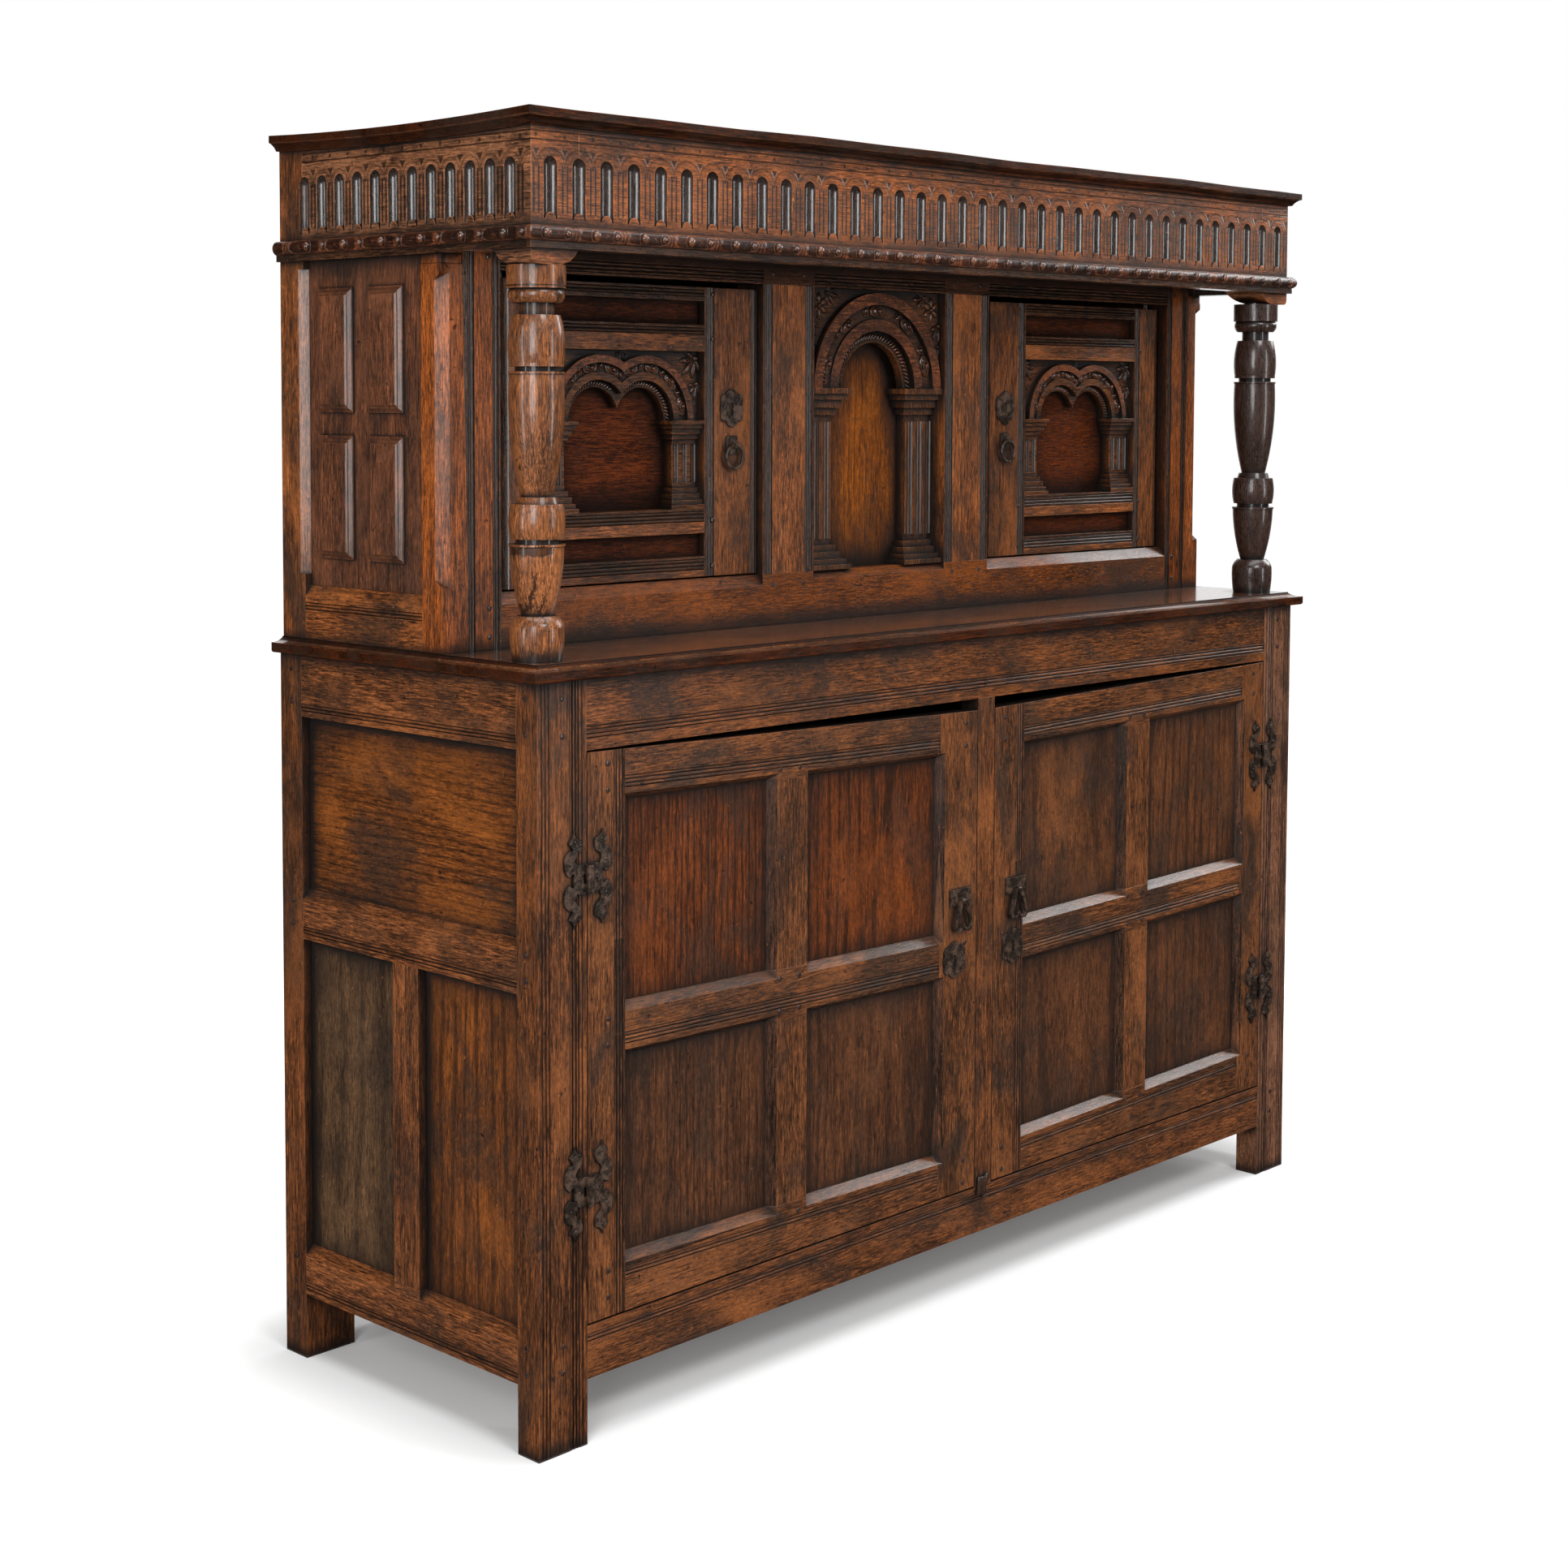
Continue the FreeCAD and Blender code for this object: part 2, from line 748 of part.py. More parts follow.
def lower_door_frame(side):
    """Two stiles, three rails and two muntins of a lower door."""
    uprights, rails = lower_door_members(side)
    face = front_y
    thick = lower_door_thickness
    left, right, low, high = lower_door_span(side)
    extra = lower_door_sag
    waste = []
    for opening in lower_door_openings(side):
        waste.append(panel_room(*opening, face + lower_panel_recess, lower_panel_thickness, groove_depth))
        waste.append(splay(*opening, face, lower_panel_recess))
    inner_left = uprights[0][1]
    inner_right = uprights[2][0]
    muntins = []
    muntin_tenons = []
    for j in (0, 1):
        span = (*uprights[1], rails[j][1], rails[j + 1][0])
        muntins.append(less(upright(*span, face, thick), waste))
        muntin_tenons += foot_tenons(*span, face, thick)
    rail_pieces = []
    rail_tenons = []
    for index, (z0, z1) in enumerate(rails):
        span = (inner_left, inner_right, z0, z1)
        rail_tenons += end_tenons(*span, face, thick)
        if index == 0:
            reeds = level_reeds(inner_left, inner_right, z1 - lower_door_splay_bottom
                                - lower_door_reed_rise - 2 * reed_width, 2, face)
        else:
            reeds = level_reeds(inner_left, inner_right, z0 + lower_door_splay_top
                                + lower_door_reed_rise, 3, face)
        lower = z0 - extra if index == 0 else z0
        piece = rail(inner_left, inner_right, lower, z1, face, thick)
        rail_pieces.append(less(piece, waste + muntin_tenons + [reeds]))
    stiles = []
    for x0, x1 in (uprights[0], uprights[2]):
        body = block(x0, x1, face, face + thick, low - extra, high)
        tools = waste + rail_tenons
        if x0 == uprights[0][0]:
            band = x1 - muntin_reed_inset - 3 * reed_width
            tools = tools + [upright_reeds(band, 3, face, low - extra, high)]
        stiles.append(less(body, tools))
    return [sagged(piece, side) for piece in stiles + rail_pieces + muntins]


def lower_door_panels(side):
    """Four panels of a lower door."""
    pieces = []
    for opening in lower_door_openings(side):
        piece = panel(*opening, front_y + lower_panel_recess, lower_panel_thickness, groove_depth)
        pieces.append(sagged(piece, side))
    return pieces


# Boards between and above the stages

def mid_board():
    """Board over the lower stage, in planks, with a square edge under a shallow hollow."""
    low = lower_frame_height
    high = upper_base_z
    edge_top = low + mid_board_edge_height
    hollow_top = high - mid_board_top_step_height
    hollow_end = mid_board_step_width + mid_board_hollow_width
    sag = (mid_board_step_width + mid_board_hollow_width / 2,
           edge_top + (hollow_top - edge_top) * mid_board_hollow_share)
    steps = [(mid_board_chamfer, low), (0, low + mid_board_chamfer), (0, edge_top),
             (mid_board_step_width, edge_top), (sag, (hollow_end, hollow_top)), (hollow_end, high)]
    plate = edge_moulded_plate(half_width + mid_board_overhang, front_y - mid_board_overhang, back_y,
                               low, high, steps)
    return planks(plate, 1, front_y, back_y, mid_board_plank_count).Solids


def top_board():
    """Top board with a fillet over a hollow on three edges, in planks."""
    low = cornice_z
    high = cornice_z + top_board_thickness
    hollow = top_board_hollow_width
    root = high - top_board_fillet
    bend_share = math.sin(math.radians(45))
    middle = (hollow * (1 - bend_share) * (1 + bend_share), low + (root - low) * bend_share)
    steps = [(hollow, low), (middle, (0, root)), (0, high)]
    plate = edge_moulded_plate(upper_half_width + top_board_overhang, frieze_y - top_board_overhang, back_y,
                               low, high, steps)
    return planks(plate, 1, frieze_y, back_y, top_board_plank_count).Solids


def bead_mouldings():
    """Bead moulding under the frieze: a front length and two returns."""
    low = bead_bottom_z
    reach = bead_torus_reach
    fillet_inset = reach - bead_bottom_fillet_reach
    root_inset = reach - bead_torus_root_height
    fillet_top = low + bead_bottom_fillet_height
    torus_top = fillet_top + bead_torus_height
    steps = [(fillet_inset, low), (fillet_inset, fillet_top), (root_inset, fillet_top),
             ((0, fillet_top + bead_torus_height / 2), (root_inset, torus_top))]
    plate = edge_moulded_plate(upper_half_width + reach, frieze_y - reach, back_y, low, torus_top, steps)
    core = block(-upper_half_width, upper_half_width, frieze_y, back_y + overrun, low - overrun,
                 torus_top + overrun)
    ring = plate.cut(core)
    wide = upper_half_width + reach + overrun
    front = ring.common(block(-wide, wide, frieze_y - reach - overrun, frieze_y, low - overrun,
                              torus_top + overrun))
    pieces = front.Solids
    for side in (-1, 1):
        span = sorted((0, side * wide))
        pieces += ring.common(block(*span, frieze_y, back_y, low - overrun, torus_top + overrun)).Solids
    return pieces


# Upper stage

def upper_frame_waste():
    """Mortises that the upper rails need, in place."""
    room = []
    for z0, z1, thick in ((upper_base_z, sill_top_z, upper_sill_thickness),
                          (head_bottom_z, head_bottom_z + upper_head_height, upper_sill_thickness)):
        room += end_tenons(-upper_inner_x, upper_inner_x, z0, z1, upper_front_y, thick)
    return room


def upper_side_rail_tenons():
    """Tenons of the upper side sill rail in its drawing."""
    left, right = upper_side_reach()
    return end_tenons(left, right, upper_base_z, sill_top_z, upper_side_face(), rail_thickness)


def upper_side_face():
    """Depth of the upper side face in the drawing of the left side."""
    return half_width - upper_half_width


def upper_side_reach():
    """Left and right end of the upper side opening in its drawing."""
    return side_u(back_y - upper_back_stile_width), side_u(upper_front_y + upper_stile_depth)


def upper_side_board_y():
    """Depth of the front of the upper side board in its drawing."""
    return upper_side_face() + upper_side_recess


def upper_side_room():
    """Room for the upper side board in the stiles and rail, in its drawing."""
    left, right = upper_side_reach()
    return panel_room(left, right, sill_top_z, canopy_bottom_z - groove_depth, upper_side_board_y(),
                      upper_side_board_thickness, groove_depth)


def corner_waste(x, y, low, high):
    """A stopped chamfer on an upright corner at the left front."""
    size = corner_chamfer
    steps = [(x - overrun, y - overrun), (x + size + overrun, y - overrun),
             (x - overrun, y + size + overrun)]
    cut = prism("xy", steps, low, high)
    run = high - low
    stop = min(corner_chamfer_stop, run / 2)
    slope = [(y - overrun - size, low), (y + size + overrun, low + stop), (y + size + overrun, high - stop),
             (y - overrun - size, high)]
    return cut.common(prism("yz", slope, x - overrun - size, x + size + overrun * 2))


def upper_front_stile():
    """Left front stile of the upper stage."""
    x0 = -upper_half_width
    x1 = -upper_inner_x
    top = head_bottom_z + upper_head_height
    body = block(x0, x1, upper_front_y, upper_front_y + upper_stile_depth, upper_base_z, top)
    waste = upper_frame_waste()
    waste += [on_left_side(tool) for tool in upper_side_rail_tenons() + [upper_side_room()]]
    waste.append(block(x0 - overrun, x0 + upper_stile_horn_width, upper_front_y - overrun,
                       upper_front_y + upper_stile_depth + overrun, top - upper_stile_horn_drop,
                       top + overrun))
    waste.append(corner_waste(x0, upper_front_y, upper_base_z + corner_chamfer_foot,
                              top - corner_chamfer_head))
    middle = (x0 + x1) / 2
    for band in (middle - reed_width, x1 - muntin_reed_inset - 2 * reed_width):
        waste.append(upright_reeds(band, 2, upper_front_y, upper_base_z, top))
    return less(body, waste)


def upper_muntin_spans():
    """Spans of the two fixed muntins."""
    return [(-upper_muntin_outer_x, -centre_half, sill_top_z, head_bottom_z),
            (centre_half, upper_muntin_outer_x, sill_top_z, head_bottom_z)]


def upper_muntin_tenons():
    """Tenons of the fixed muntins."""
    room = []
    for span in upper_muntin_spans():
        room += foot_tenons(*span, upper_front_y, upper_sill_thickness)
    return room


def upper_muntins():
    """The two fixed muntins beside the arch, reeded at both edges."""
    pieces = []
    for span in upper_muntin_spans():
        x0, x1, z0, z1 = span
        body = joined([block(x0, x1, upper_front_y, upper_front_y + upper_muntin_depth, z0, z1)]
                      + foot_tenons(*span, upper_front_y, upper_sill_thickness))
        waste = [upright_reeds(x0 + muntin_reed_inset, 3, upper_front_y, z0, z1),
                 upright_reeds(x1 - muntin_reed_inset - 3 * reed_width, 3, upper_front_y, z0, z1),
                 centre_back_room()]
        pieces.append(less(body, waste))
    return pieces


def upper_openings():
    """Left and right end of the door openings and the arch between them."""
    return [(-upper_inner_x, -upper_muntin_outer_x), (-centre_half, centre_half),
            (upper_muntin_outer_x, upper_inner_x)]


def upper_sill_rail():
    """Sill rail of the upper front, sloped under the doors and the arch."""
    body = rail(-upper_inner_x, upper_inner_x, upper_base_z, sill_top_z, upper_front_y,
                upper_sill_thickness)
    waste = upper_muntin_tenons() + [centre_back_room()]
    heights = (upper_sill_slope_height, centre_sill_slope_height, upper_sill_slope_height)
    for (x0, x1), height in zip(upper_openings(), heights):
        waste.append(sill_slope(x0, x1, sill_top_z, upper_front_y, height, upper_sill_slope_depth))
    for side in (-1, 1):
        x, y = pivot_xy(side)
        waste.append(rod(pivot_radius, x, y, sill_top_z - pivot_length / 2, pivot_length, along_z))
    return less(body, waste)


def upper_head_rail():
    """Head rail of the upper front, reeded over each opening."""
    top = head_bottom_z + upper_head_height
    body = rail(-upper_inner_x, upper_inner_x, head_bottom_z, top, upper_front_y, upper_sill_thickness)
    waste = upper_muntin_tenons() + [centre_back_room()]
    for x0, x1 in upper_openings():
        waste.append(level_reeds(x0, x1, head_bottom_z + muntin_reed_inset, 3, upper_front_y))
    for side in (-1, 1):
        x, y = pivot_xy(side)
        waste.append(rod(pivot_radius, x, y, head_bottom_z - pivot_length / 2, pivot_length, along_z))
    return less(body, waste)


def left_upper_side_rail():
    """Sill rail of the upper left side, in its drawing."""
    left, right = upper_side_reach()
    face = upper_side_face()
    body = rail(left, right, upper_base_z, sill_top_z, face, rail_thickness)
    low = sill_top_z - upper_side_slope_height - muntin_reed_inset - 3 * reed_width
    return less(body, [upper_side_room(), level_reeds(left, right, low, 2, face),
                       sill_slope(left, right, sill_top_z, face, upper_side_slope_height,
                                  upper_side_recess)])


def block_outline(low, high, face):
    """Outline of a block from edge to edge, as places across the board and depths."""
    rising = [(low + block_border_width * inset, face - block_rise_height * out)
              for inset, out in block_border_shares]
    falling = [(high - block_border_width * inset, face - block_rise_height * out)
               for inset, out in reversed(block_border_shares)]
    return rising + falling


def raised_block(x0, x1, z0, z1, face):
    """One raised block with a moulded border, planted on the side board."""
    across = prism("xy", block_outline(x0, x1, face), z0, z1)
    upward = [(depth, z) for z, depth in block_outline(z0, z1, face)]
    return across.common(prism("yz", upward, x0, x1))


def block_spans(low, high, low_margin, high_margin, gap):
    """Two equal spans with a gap between them and a margin at each end."""
    size = (high - low - low_margin - high_margin - gap) / 2
    return [(low + low_margin, low + low_margin + size), (high - high_margin - size, high - high_margin)]


def left_upper_side_panel():
    """Side board of the upper stage with its four raised blocks, in its drawing."""
    left, right = upper_side_reach()
    face = upper_side_board_y()
    top = canopy_bottom_z
    margin = block_margin_height
    board = panel(left, right, sill_top_z, top - groove_depth, face, upper_side_board_thickness,
                  groove_depth)
    pieces = [board]
    for z0, z1 in block_spans(sill_top_z, top, margin, margin, block_gap_height):
        for x0, x1 in block_spans(left, right, block_back_margin, block_front_margin, block_gap_width):
            pieces.append(raised_block(x0, x1, z0, z1, face))
    return pieces


def upper_back_envelope():
    """All the upper back boards as one sheet."""
    x1 = upper_half_width - upper_back_stile_depth + groove_depth
    y1 = back_y - back_board_inset
    return block(-x1, x1, y1 - back_board_thickness, y1, upper_base_z, cornice_z)


def upper_back_stile():
    """Left back stile of the upper stage, up to the top board."""
    x0 = -upper_half_width
    y0 = back_y - upper_back_stile_width
    body = block(x0, x0 + upper_back_stile_depth, y0, back_y, upper_base_z, cornice_z)
    waste = [on_left_side(tool) for tool in upper_side_rail_tenons() + [upper_side_room()]]
    waste.append(upper_back_envelope())
    size = upper_side_recess
    steps = [(x0 - overrun, y0 - overrun), (x0 + size, y0 - overrun), (x0 + size, y0), (x0, y0 + size),
             (x0 - overrun, y0 + size)]
    low = sill_top_z + upper_side_slope_height
    waste.append(prism("xy", steps, low, canopy_bottom_z - upper_side_recess))
    return less(body, waste + side_flutes())


# Arches and pilasters

def stepped(x0, x1, y0, y1, z0, z1, reach, inner_left):
    """A capital that steps out as it rises, on its front and its inner side."""
    def at(share, low, high):
        return low + (high - low) * share
    front = [(at(1 - out, y0, y0 + reach), at(up, z0, z1)) for out, up in capital_outline_shares]
    front += [(y1, z1), (y1, z0)]
    body = prism("yz", front, x0, x1)
    if inner_left:
        side = [(at(1 - out, x0, x0 + reach), at(up, z0, z1)) for out, up in capital_outline_shares]
        side += [(x1, z1), (x1, z0)]
    else:
        side = [(at(out, x1 - reach, x1), at(up, z0, z1)) for out, up in capital_outline_shares]
        side += [(x0, z1), (x0, z0)]
    return body.common(prism("xz", side, y0, y1))


def turned_over(shape, z0, z1):
    """A capital turned upside down between two levels, as a base."""
    return shape.mirror(FreeCAD.Vector(0, 0, (z0 + z1) / 2), along_z)


def fluted_shaft(x0, x1, y0, y1, z0, z1):
    """A pilaster shaft with hollow flutes up its face."""
    pitch = (x1 - x0) / shaft_flute_count
    hollow = pitch * shaft_flute_share
    steps = [(x0, y1), (x0, y0)]
    for index in range(shaft_flute_count):
        left = x0 + index * pitch + (pitch - hollow) / 2
        steps.append((left, y0))
        steps.append(((left + hollow / 2, y0 + hollow / 3), (left + hollow, y0)))
    steps += [(x1, y0), (x1, y1)]
    return prism("xy", steps, z0, z1)


def pilaster(edge, inner, sizes, front, back, base_z, spring_z):
    """Capital, shaft and base in one piece; edge is the outer side, inner the arch side."""
    cap_height, base_height, shaft_width, setback = sizes
    inner_left = inner < edge
    x0, x1 = sorted((edge, inner))
    reach = abs(edge - inner) - shaft_width
    cap = stepped(x0, x1, front, back, spring_z - cap_height, spring_z, reach, inner_left)
    foot = stepped(x0, x1, front, back, base_z, base_z + base_height, reach, inner_left)
    foot = turned_over(foot, base_z, base_z + base_height)
    shaft_inner = edge - shaft_width if inner_left else edge + shaft_width
    s0, s1 = sorted((edge, shaft_inner))
    shaft = fluted_shaft(s0, s1, front + setback, back, base_z + base_height, spring_z - cap_height)
    return joined([cap, shaft, foot])


def ring_waste(x, z, inner, outer, y0, y1):
    """A ring shaped hollow round a centre."""
    tube = rod(outer, x, y0, z, y1 - y0, along_y)
    return tube.cut(rod(inner, x, y0, z, y1 - y0, along_y))


def arch_board(x0, x1, z0, z1, front, centres, inner, outer):
    """A board with arched openings, stepped in bands round each, and sunk corners above."""
    wide = outer - inner
    before = front - overrun
    hood = [rod(outer, x, before, z0, 3 * overrun, along_y) for x in centres]
    ground = less(block(x0, x1, before, front + spandrel_depth, z0, z1), hood)
    waste = [ground]
    middle = (x0 + x1) / 2
    for x in centres:
        for radius, depth in ((inner + wide * arch_channel_inner_share, arch_band_depth),
                              (inner + wide * arch_rope_share, arch_rope_depth),
                              (inner, arch_board_thickness + overrun)):
            waste.append(rod(radius, x, before, z0, depth + overrun, along_y))
        band = ring_waste(x, z0, inner + wide * arch_channel_inner_share,
                          inner + wide * arch_channel_outer_share, before, front + arch_channel_depth)
        if x < middle:
            band = band.common(block(x0, middle, before, front + 2 * overrun, z0, z1))
        elif x > middle:
            band = band.common(block(middle, x1, before, front + 2 * overrun, z0, z1))
        waste.append(band)
    return less(block(x0, x1, front, front + arch_board_thickness, z0, z1), waste)


def centre_arch():
    """The carved arch of the fixed middle panel."""
    spring = sill_top_z + centre_arch_spring_rise
    return arch_board(-centre_half, centre_half, spring, head_bottom_z, upper_front_y + arch_board_recess,
                      [0], centre_arch_inner_radius, centre_arch_outer_radius)


def centre_back_room():
    """Rebate for the plain back panel of the middle arch."""
    y0 = upper_front_y + centre_arch_back_recess
    return block(-centre_half - groove_depth, centre_half + groove_depth, y0,
                 y0 + upper_muntin_depth, sill_top_z - groove_depth, head_bottom_z + groove_depth)


def centre_panel():
    """Plain panel behind the middle arch."""
    y0 = upper_front_y + centre_arch_back_recess
    return block(-centre_half - groove_depth, centre_half + groove_depth, y0,
                 y0 + upper_muntin_depth - centre_arch_back_recess, sill_top_z - groove_depth,
                 head_bottom_z + groove_depth)


def centre_pilasters():
    """The pair of pilasters under the middle arch."""
    spring = sill_top_z + centre_arch_spring_rise
    front = upper_front_y + arch_board_recess
    back = upper_front_y + centre_arch_back_recess
    sizes = (centre_cap_height, centre_base_height, centre_shaft_width, centre_shaft_setback)
    inner = centre_half - centre_pilaster_width
    right = pilaster(centre_half, inner, sizes, front, back, sill_top_z, spring)
    return [mirrored(right), right]


# Upper doors, drawn for the right hand door

def pivot_xy(side):
    """Axis of an upper door."""
    radius = upper_door_thickness / 2
    x = upper_inner_x - upper_door_gap - radius
    return side * x, upper_front_y + upper_door_recess + radius


def upper_door_span():
    """Left, right, bottom and top of the right upper door."""
    return (upper_muntin_outer_x + upper_door_gap, upper_inner_x - upper_door_gap,
            sill_top_z + upper_door_bottom_gap, head_bottom_z - upper_door_top_gap)


def upper_door_rail_spans():
    """Bottom and top of the four rails of an upper door, lowest first."""
    low = upper_door_span()[2]
    high = upper_door_span()[3]
    top_bottom = high - upper_door_top_rail_height
    high_top = top_bottom - upper_door_top_strip_height
    low_bottom = low + upper_door_bottom_rail_height + upper_door_low_strip_height
    return [(low, low + upper_door_bottom_rail_height),
            (low_bottom, low_bottom + upper_door_low_rail_height),
            (high_top - upper_door_high_rail_height, high_top), (top_bottom, high)]


def upper_door_zone():
    """Left and right end between the stiles of the right upper door."""
    left, right, low, high = upper_door_span()
    return left + upper_meeting_stile_width, right - upper_hanging_stile_width


def upper_door_openings():
    """The three openings between the rails."""
    left, right = upper_door_zone()
    spans = upper_door_rail_spans()
    return [(left, right, spans[i][1], spans[i + 1][0]) for i in range(3)]


def upper_door_rooms():
    """Grooves for the two strips and rebate for the arch back."""
    openings = upper_door_openings()
    face = upper_front_y + upper_door_recess
    rooms = [panel_room(*openings[i], face + strip_recess, strip_thickness, groove_depth) for i in (0, 2)]
    rooms.append(panel_room(*openings[1], face + door_arch_back_recess, arch_back_thickness, groove_depth))
    return rooms


def upper_door_frame():
    """Two stiles and four rails of the right upper door."""
    face = upper_front_y + upper_door_recess
    thick = upper_door_thickness
    left, right, low, high = upper_door_span()
    zone_left, zone_right = upper_door_zone()
    rooms = upper_door_rooms()
    tenons = []
    rails = []
    for index, (z0, z1) in enumerate(upper_door_rail_spans()):
        tenons += end_tenons(zone_left, zone_right, z0, z1, face, thick)
        count = 3 if index in (0, 1) else 2
        band = z1 - muntin_reed_inset - count * reed_width
        reeds = level_reeds(zone_left, zone_right, band, count, face)
        rails.append(less(rail(zone_left, zone_right, z0, z1, face, thick), rooms + [reeds]))
    meeting = block(left, zone_left, face, face + thick, low, high)
    meeting = less(meeting, rooms + tenons
                   + [upright_reeds(left + muntin_reed_inset, 2, face, low, high),
                      upright_reeds(zone_left - muntin_reed_inset - 3 * reed_width, 3, face, low, high)])
    x, y = pivot_xy(1)
    hanging = joined([block(zone_right, x, face, face + thick, low, high),
                      rod(thick / 2, x, y, low, high - low, along_z)])
    bore = pivot_radius + pivot_clearance
    bores = [rod(bore, x, y, low - pivot_length / 2, pivot_length, along_z),
             rod(bore, x, y, high - pivot_length / 2 - pivot_end_gap, pivot_length, along_z)]
    hanging = less(hanging, rooms + tenons + bores
                   + [upright_reeds(zone_right + muntin_reed_inset, 2, face, low, high)])
    return [meeting, hanging] + rails


def upper_door_panels():
    """Two plain strips and the back of the arch, for the right upper door."""
    openings = upper_door_openings()
    face = upper_front_y + upper_door_recess
    pieces = [panel(*openings[i], face + strip_recess, strip_thickness, groove_depth) for i in (0, 2)]
    pieces.append(panel(*openings[1], face + door_arch_back_recess, arch_back_thickness, groove_depth))
    return pieces


def upper_door_arches():
    """The double arch board and its two pilasters, for the right upper door."""
    left, right, low, high = upper_door_openings()[1]
    face = upper_front_y + upper_door_recess
    spring = low + door_arch_spring_rise
    middle = (left + right) / 2
    centres = [middle - door_arch_spread, middle + door_arch_spread]
    arches = arch_board(left, right, spring, high, face + arch_board_recess, centres,
                        door_arch_inner_radius, door_arch_outer_radius)
    front = face
    back = face + door_arch_back_recess - panel_clearance
    sizes = (door_cap_height, door_base_height, door_shaft_width, door_shaft_setback)
    first = pilaster(left, left + door_pilaster_width, sizes, front, back, low, spring)
    second = pilaster(right, right - door_pilaster_width, sizes, front, back, low, spring)
    return [arches, first, second]


def pivot_pins():
    """Iron pins on which the upper doors turn, held in the sill and head rails."""
    pins = []
    left, right, low, high = upper_door_span()
    for side in (-1, 1):
        x, y = pivot_xy(side)
        base = sill_top_z - pivot_length / 2
        pins.append(rod(pivot_radius, x, y, base, low + pivot_length / 2 - base, along_z))
        base = high - pivot_length / 2
        pins.append(rod(pivot_radius, x, y, base, head_bottom_z + pivot_length / 2 - base, along_z))
    return pins


# Canopy

def flute(foot_z):
    """Waste of one upright flute at the middle of the front, cut into the frieze."""
    radius = (flute_width ** 2 / 4 + flute_depth ** 2) / (2 * flute_depth)
    y = frieze_y + flute_depth - radius
    top = foot_z + flute_head - flute_foot - flute_width / 2
    shank = rod(radius, 0, y, foot_z, top - foot_z, along_z)
    crown = Part.makeSphere(radius, FreeCAD.Vector(0, y, top))
    tab = rod(flute_tab_radius, 0, frieze_y - radius, foot_z, 2 * radius + flute_depth, along_y)
    return shank.fuse(crown).cut(tab)


def front_flutes():
    """All the flutes of the front."""
    one = flute(canopy_bottom_z + flute_foot)
    first = front_flute_end_inset - upper_half_width
    pitch = -2 * first / (front_flute_count - 1)
    result = []
    for index in range(front_flute_count):
        copy = one.copy()
        copy.translate(FreeCAD.Vector(first + index * pitch, 0, 0))
        result.append(copy)
    return result


def side_flutes():
    """All the flutes of the left side."""
    one = flute(canopy_bottom_z + flute_foot)
    first = frieze_y + side_flute_front_inset
    pitch = (back_y - side_flute_back_inset - first) / (side_flute_count - 1)
    result = []
    for index in range(side_flute_count):
        copy = one.copy()
        copy.translate(FreeCAD.Vector(0, -frieze_y, 0))
        copy.rotate(origin, along_z, -90)
        copy.translate(FreeCAD.Vector(-upper_half_width, first + index * pitch, 0))
        result.append(copy)
    return result


def corner_block():
    """Left corner block: top of the baluster, corner of the frieze."""
    x0 = -upper_half_width
    x1 = x0 + corner_block_width
    y0 = frieze_y
    y1 = y0 + corner_block_depth
    low = canopy_bottom_z - corner_block_drop
    wide = corner_block_round_width
    tall = corner_block_round_height
    small = corner_block_outer_round
    steps = [(x1, cornice_z), (x0, cornice_z), (x0, low + small)]
    nick = small * (1 - math.sin(math.radians(45)))
    steps += [((x0 + nick, low + nick), (x0 + small, low)), (x1 - wide, low)]
    steps.append(rising_arc(x1 - wide, low, wide, tall))
    body = prism("xz", steps, y0, y1)
    side = [(y1, cornice_z), (y0, cornice_z), (y0, low), (y1 - wide, low),
            rising_arc(y1 - wide, low, wide, tall)]
    body = body.common(prism("yz", side, x0, x1))
    socket = rod(baluster_neck_radius, *baluster_xy(), low, corner_block_drop, along_z)
    flutes = front_flutes()[:corner_front_flute_count] + side_flutes()[:corner_side_flute_count]
    return less(body, flutes + [socket])


def frieze_front():
    """Frieze board between the corner blocks."""
    x1 = upper_half_width - corner_block_width
    body = block(-x1, x1, frieze_y, frieze_y + frieze_thickness, canopy_bottom_z, cornice_z)
    return less(body, front_flutes())


def frieze_side():
    """Left frieze board, from the corner block to the back stile."""
    x0 = -upper_half_width
    body = block(x0, x0 + frieze_thickness, frieze_y + corner_block_depth, back_y - upper_back_stile_width,
                 canopy_bottom_z, cornice_z)
    return less(body, side_flutes())


def soffit_boards():
    """Boards under the canopy and over the upper cupboard."""
    low = cornice_z - soffit_drop
    x1 = upper_half_width - frieze_thickness
    y0 = frieze_y + frieze_thickness
    y1 = back_y - back_board_inset - back_board_thickness
    body = block(-x1, x1, y0, y1, low, low + soffit_thickness)
    waste = []
    for side in (-1, 1):
        span = sorted((side * x1, side * (upper_half_width - corner_block_width)))
        waste.append(block(*span, y0 - overrun, frieze_y + corner_block_depth, low - overrun, cornice_z))
        span = sorted((side * x1, side * (upper_half_width - upper_back_stile_depth)))
        waste.append(block(*span, back_y - upper_back_stile_width, y1 + overrun, low - overrun, cornice_z))
    return planks(less(body, waste), 1, y0, y1, soffit_board_count).Solids


# Balusters

def baluster_xy():
    """Axis of the left baluster, under the middle of its block."""
    return -upper_half_width + corner_block_width / 2, frieze_y + corner_block_depth / 2


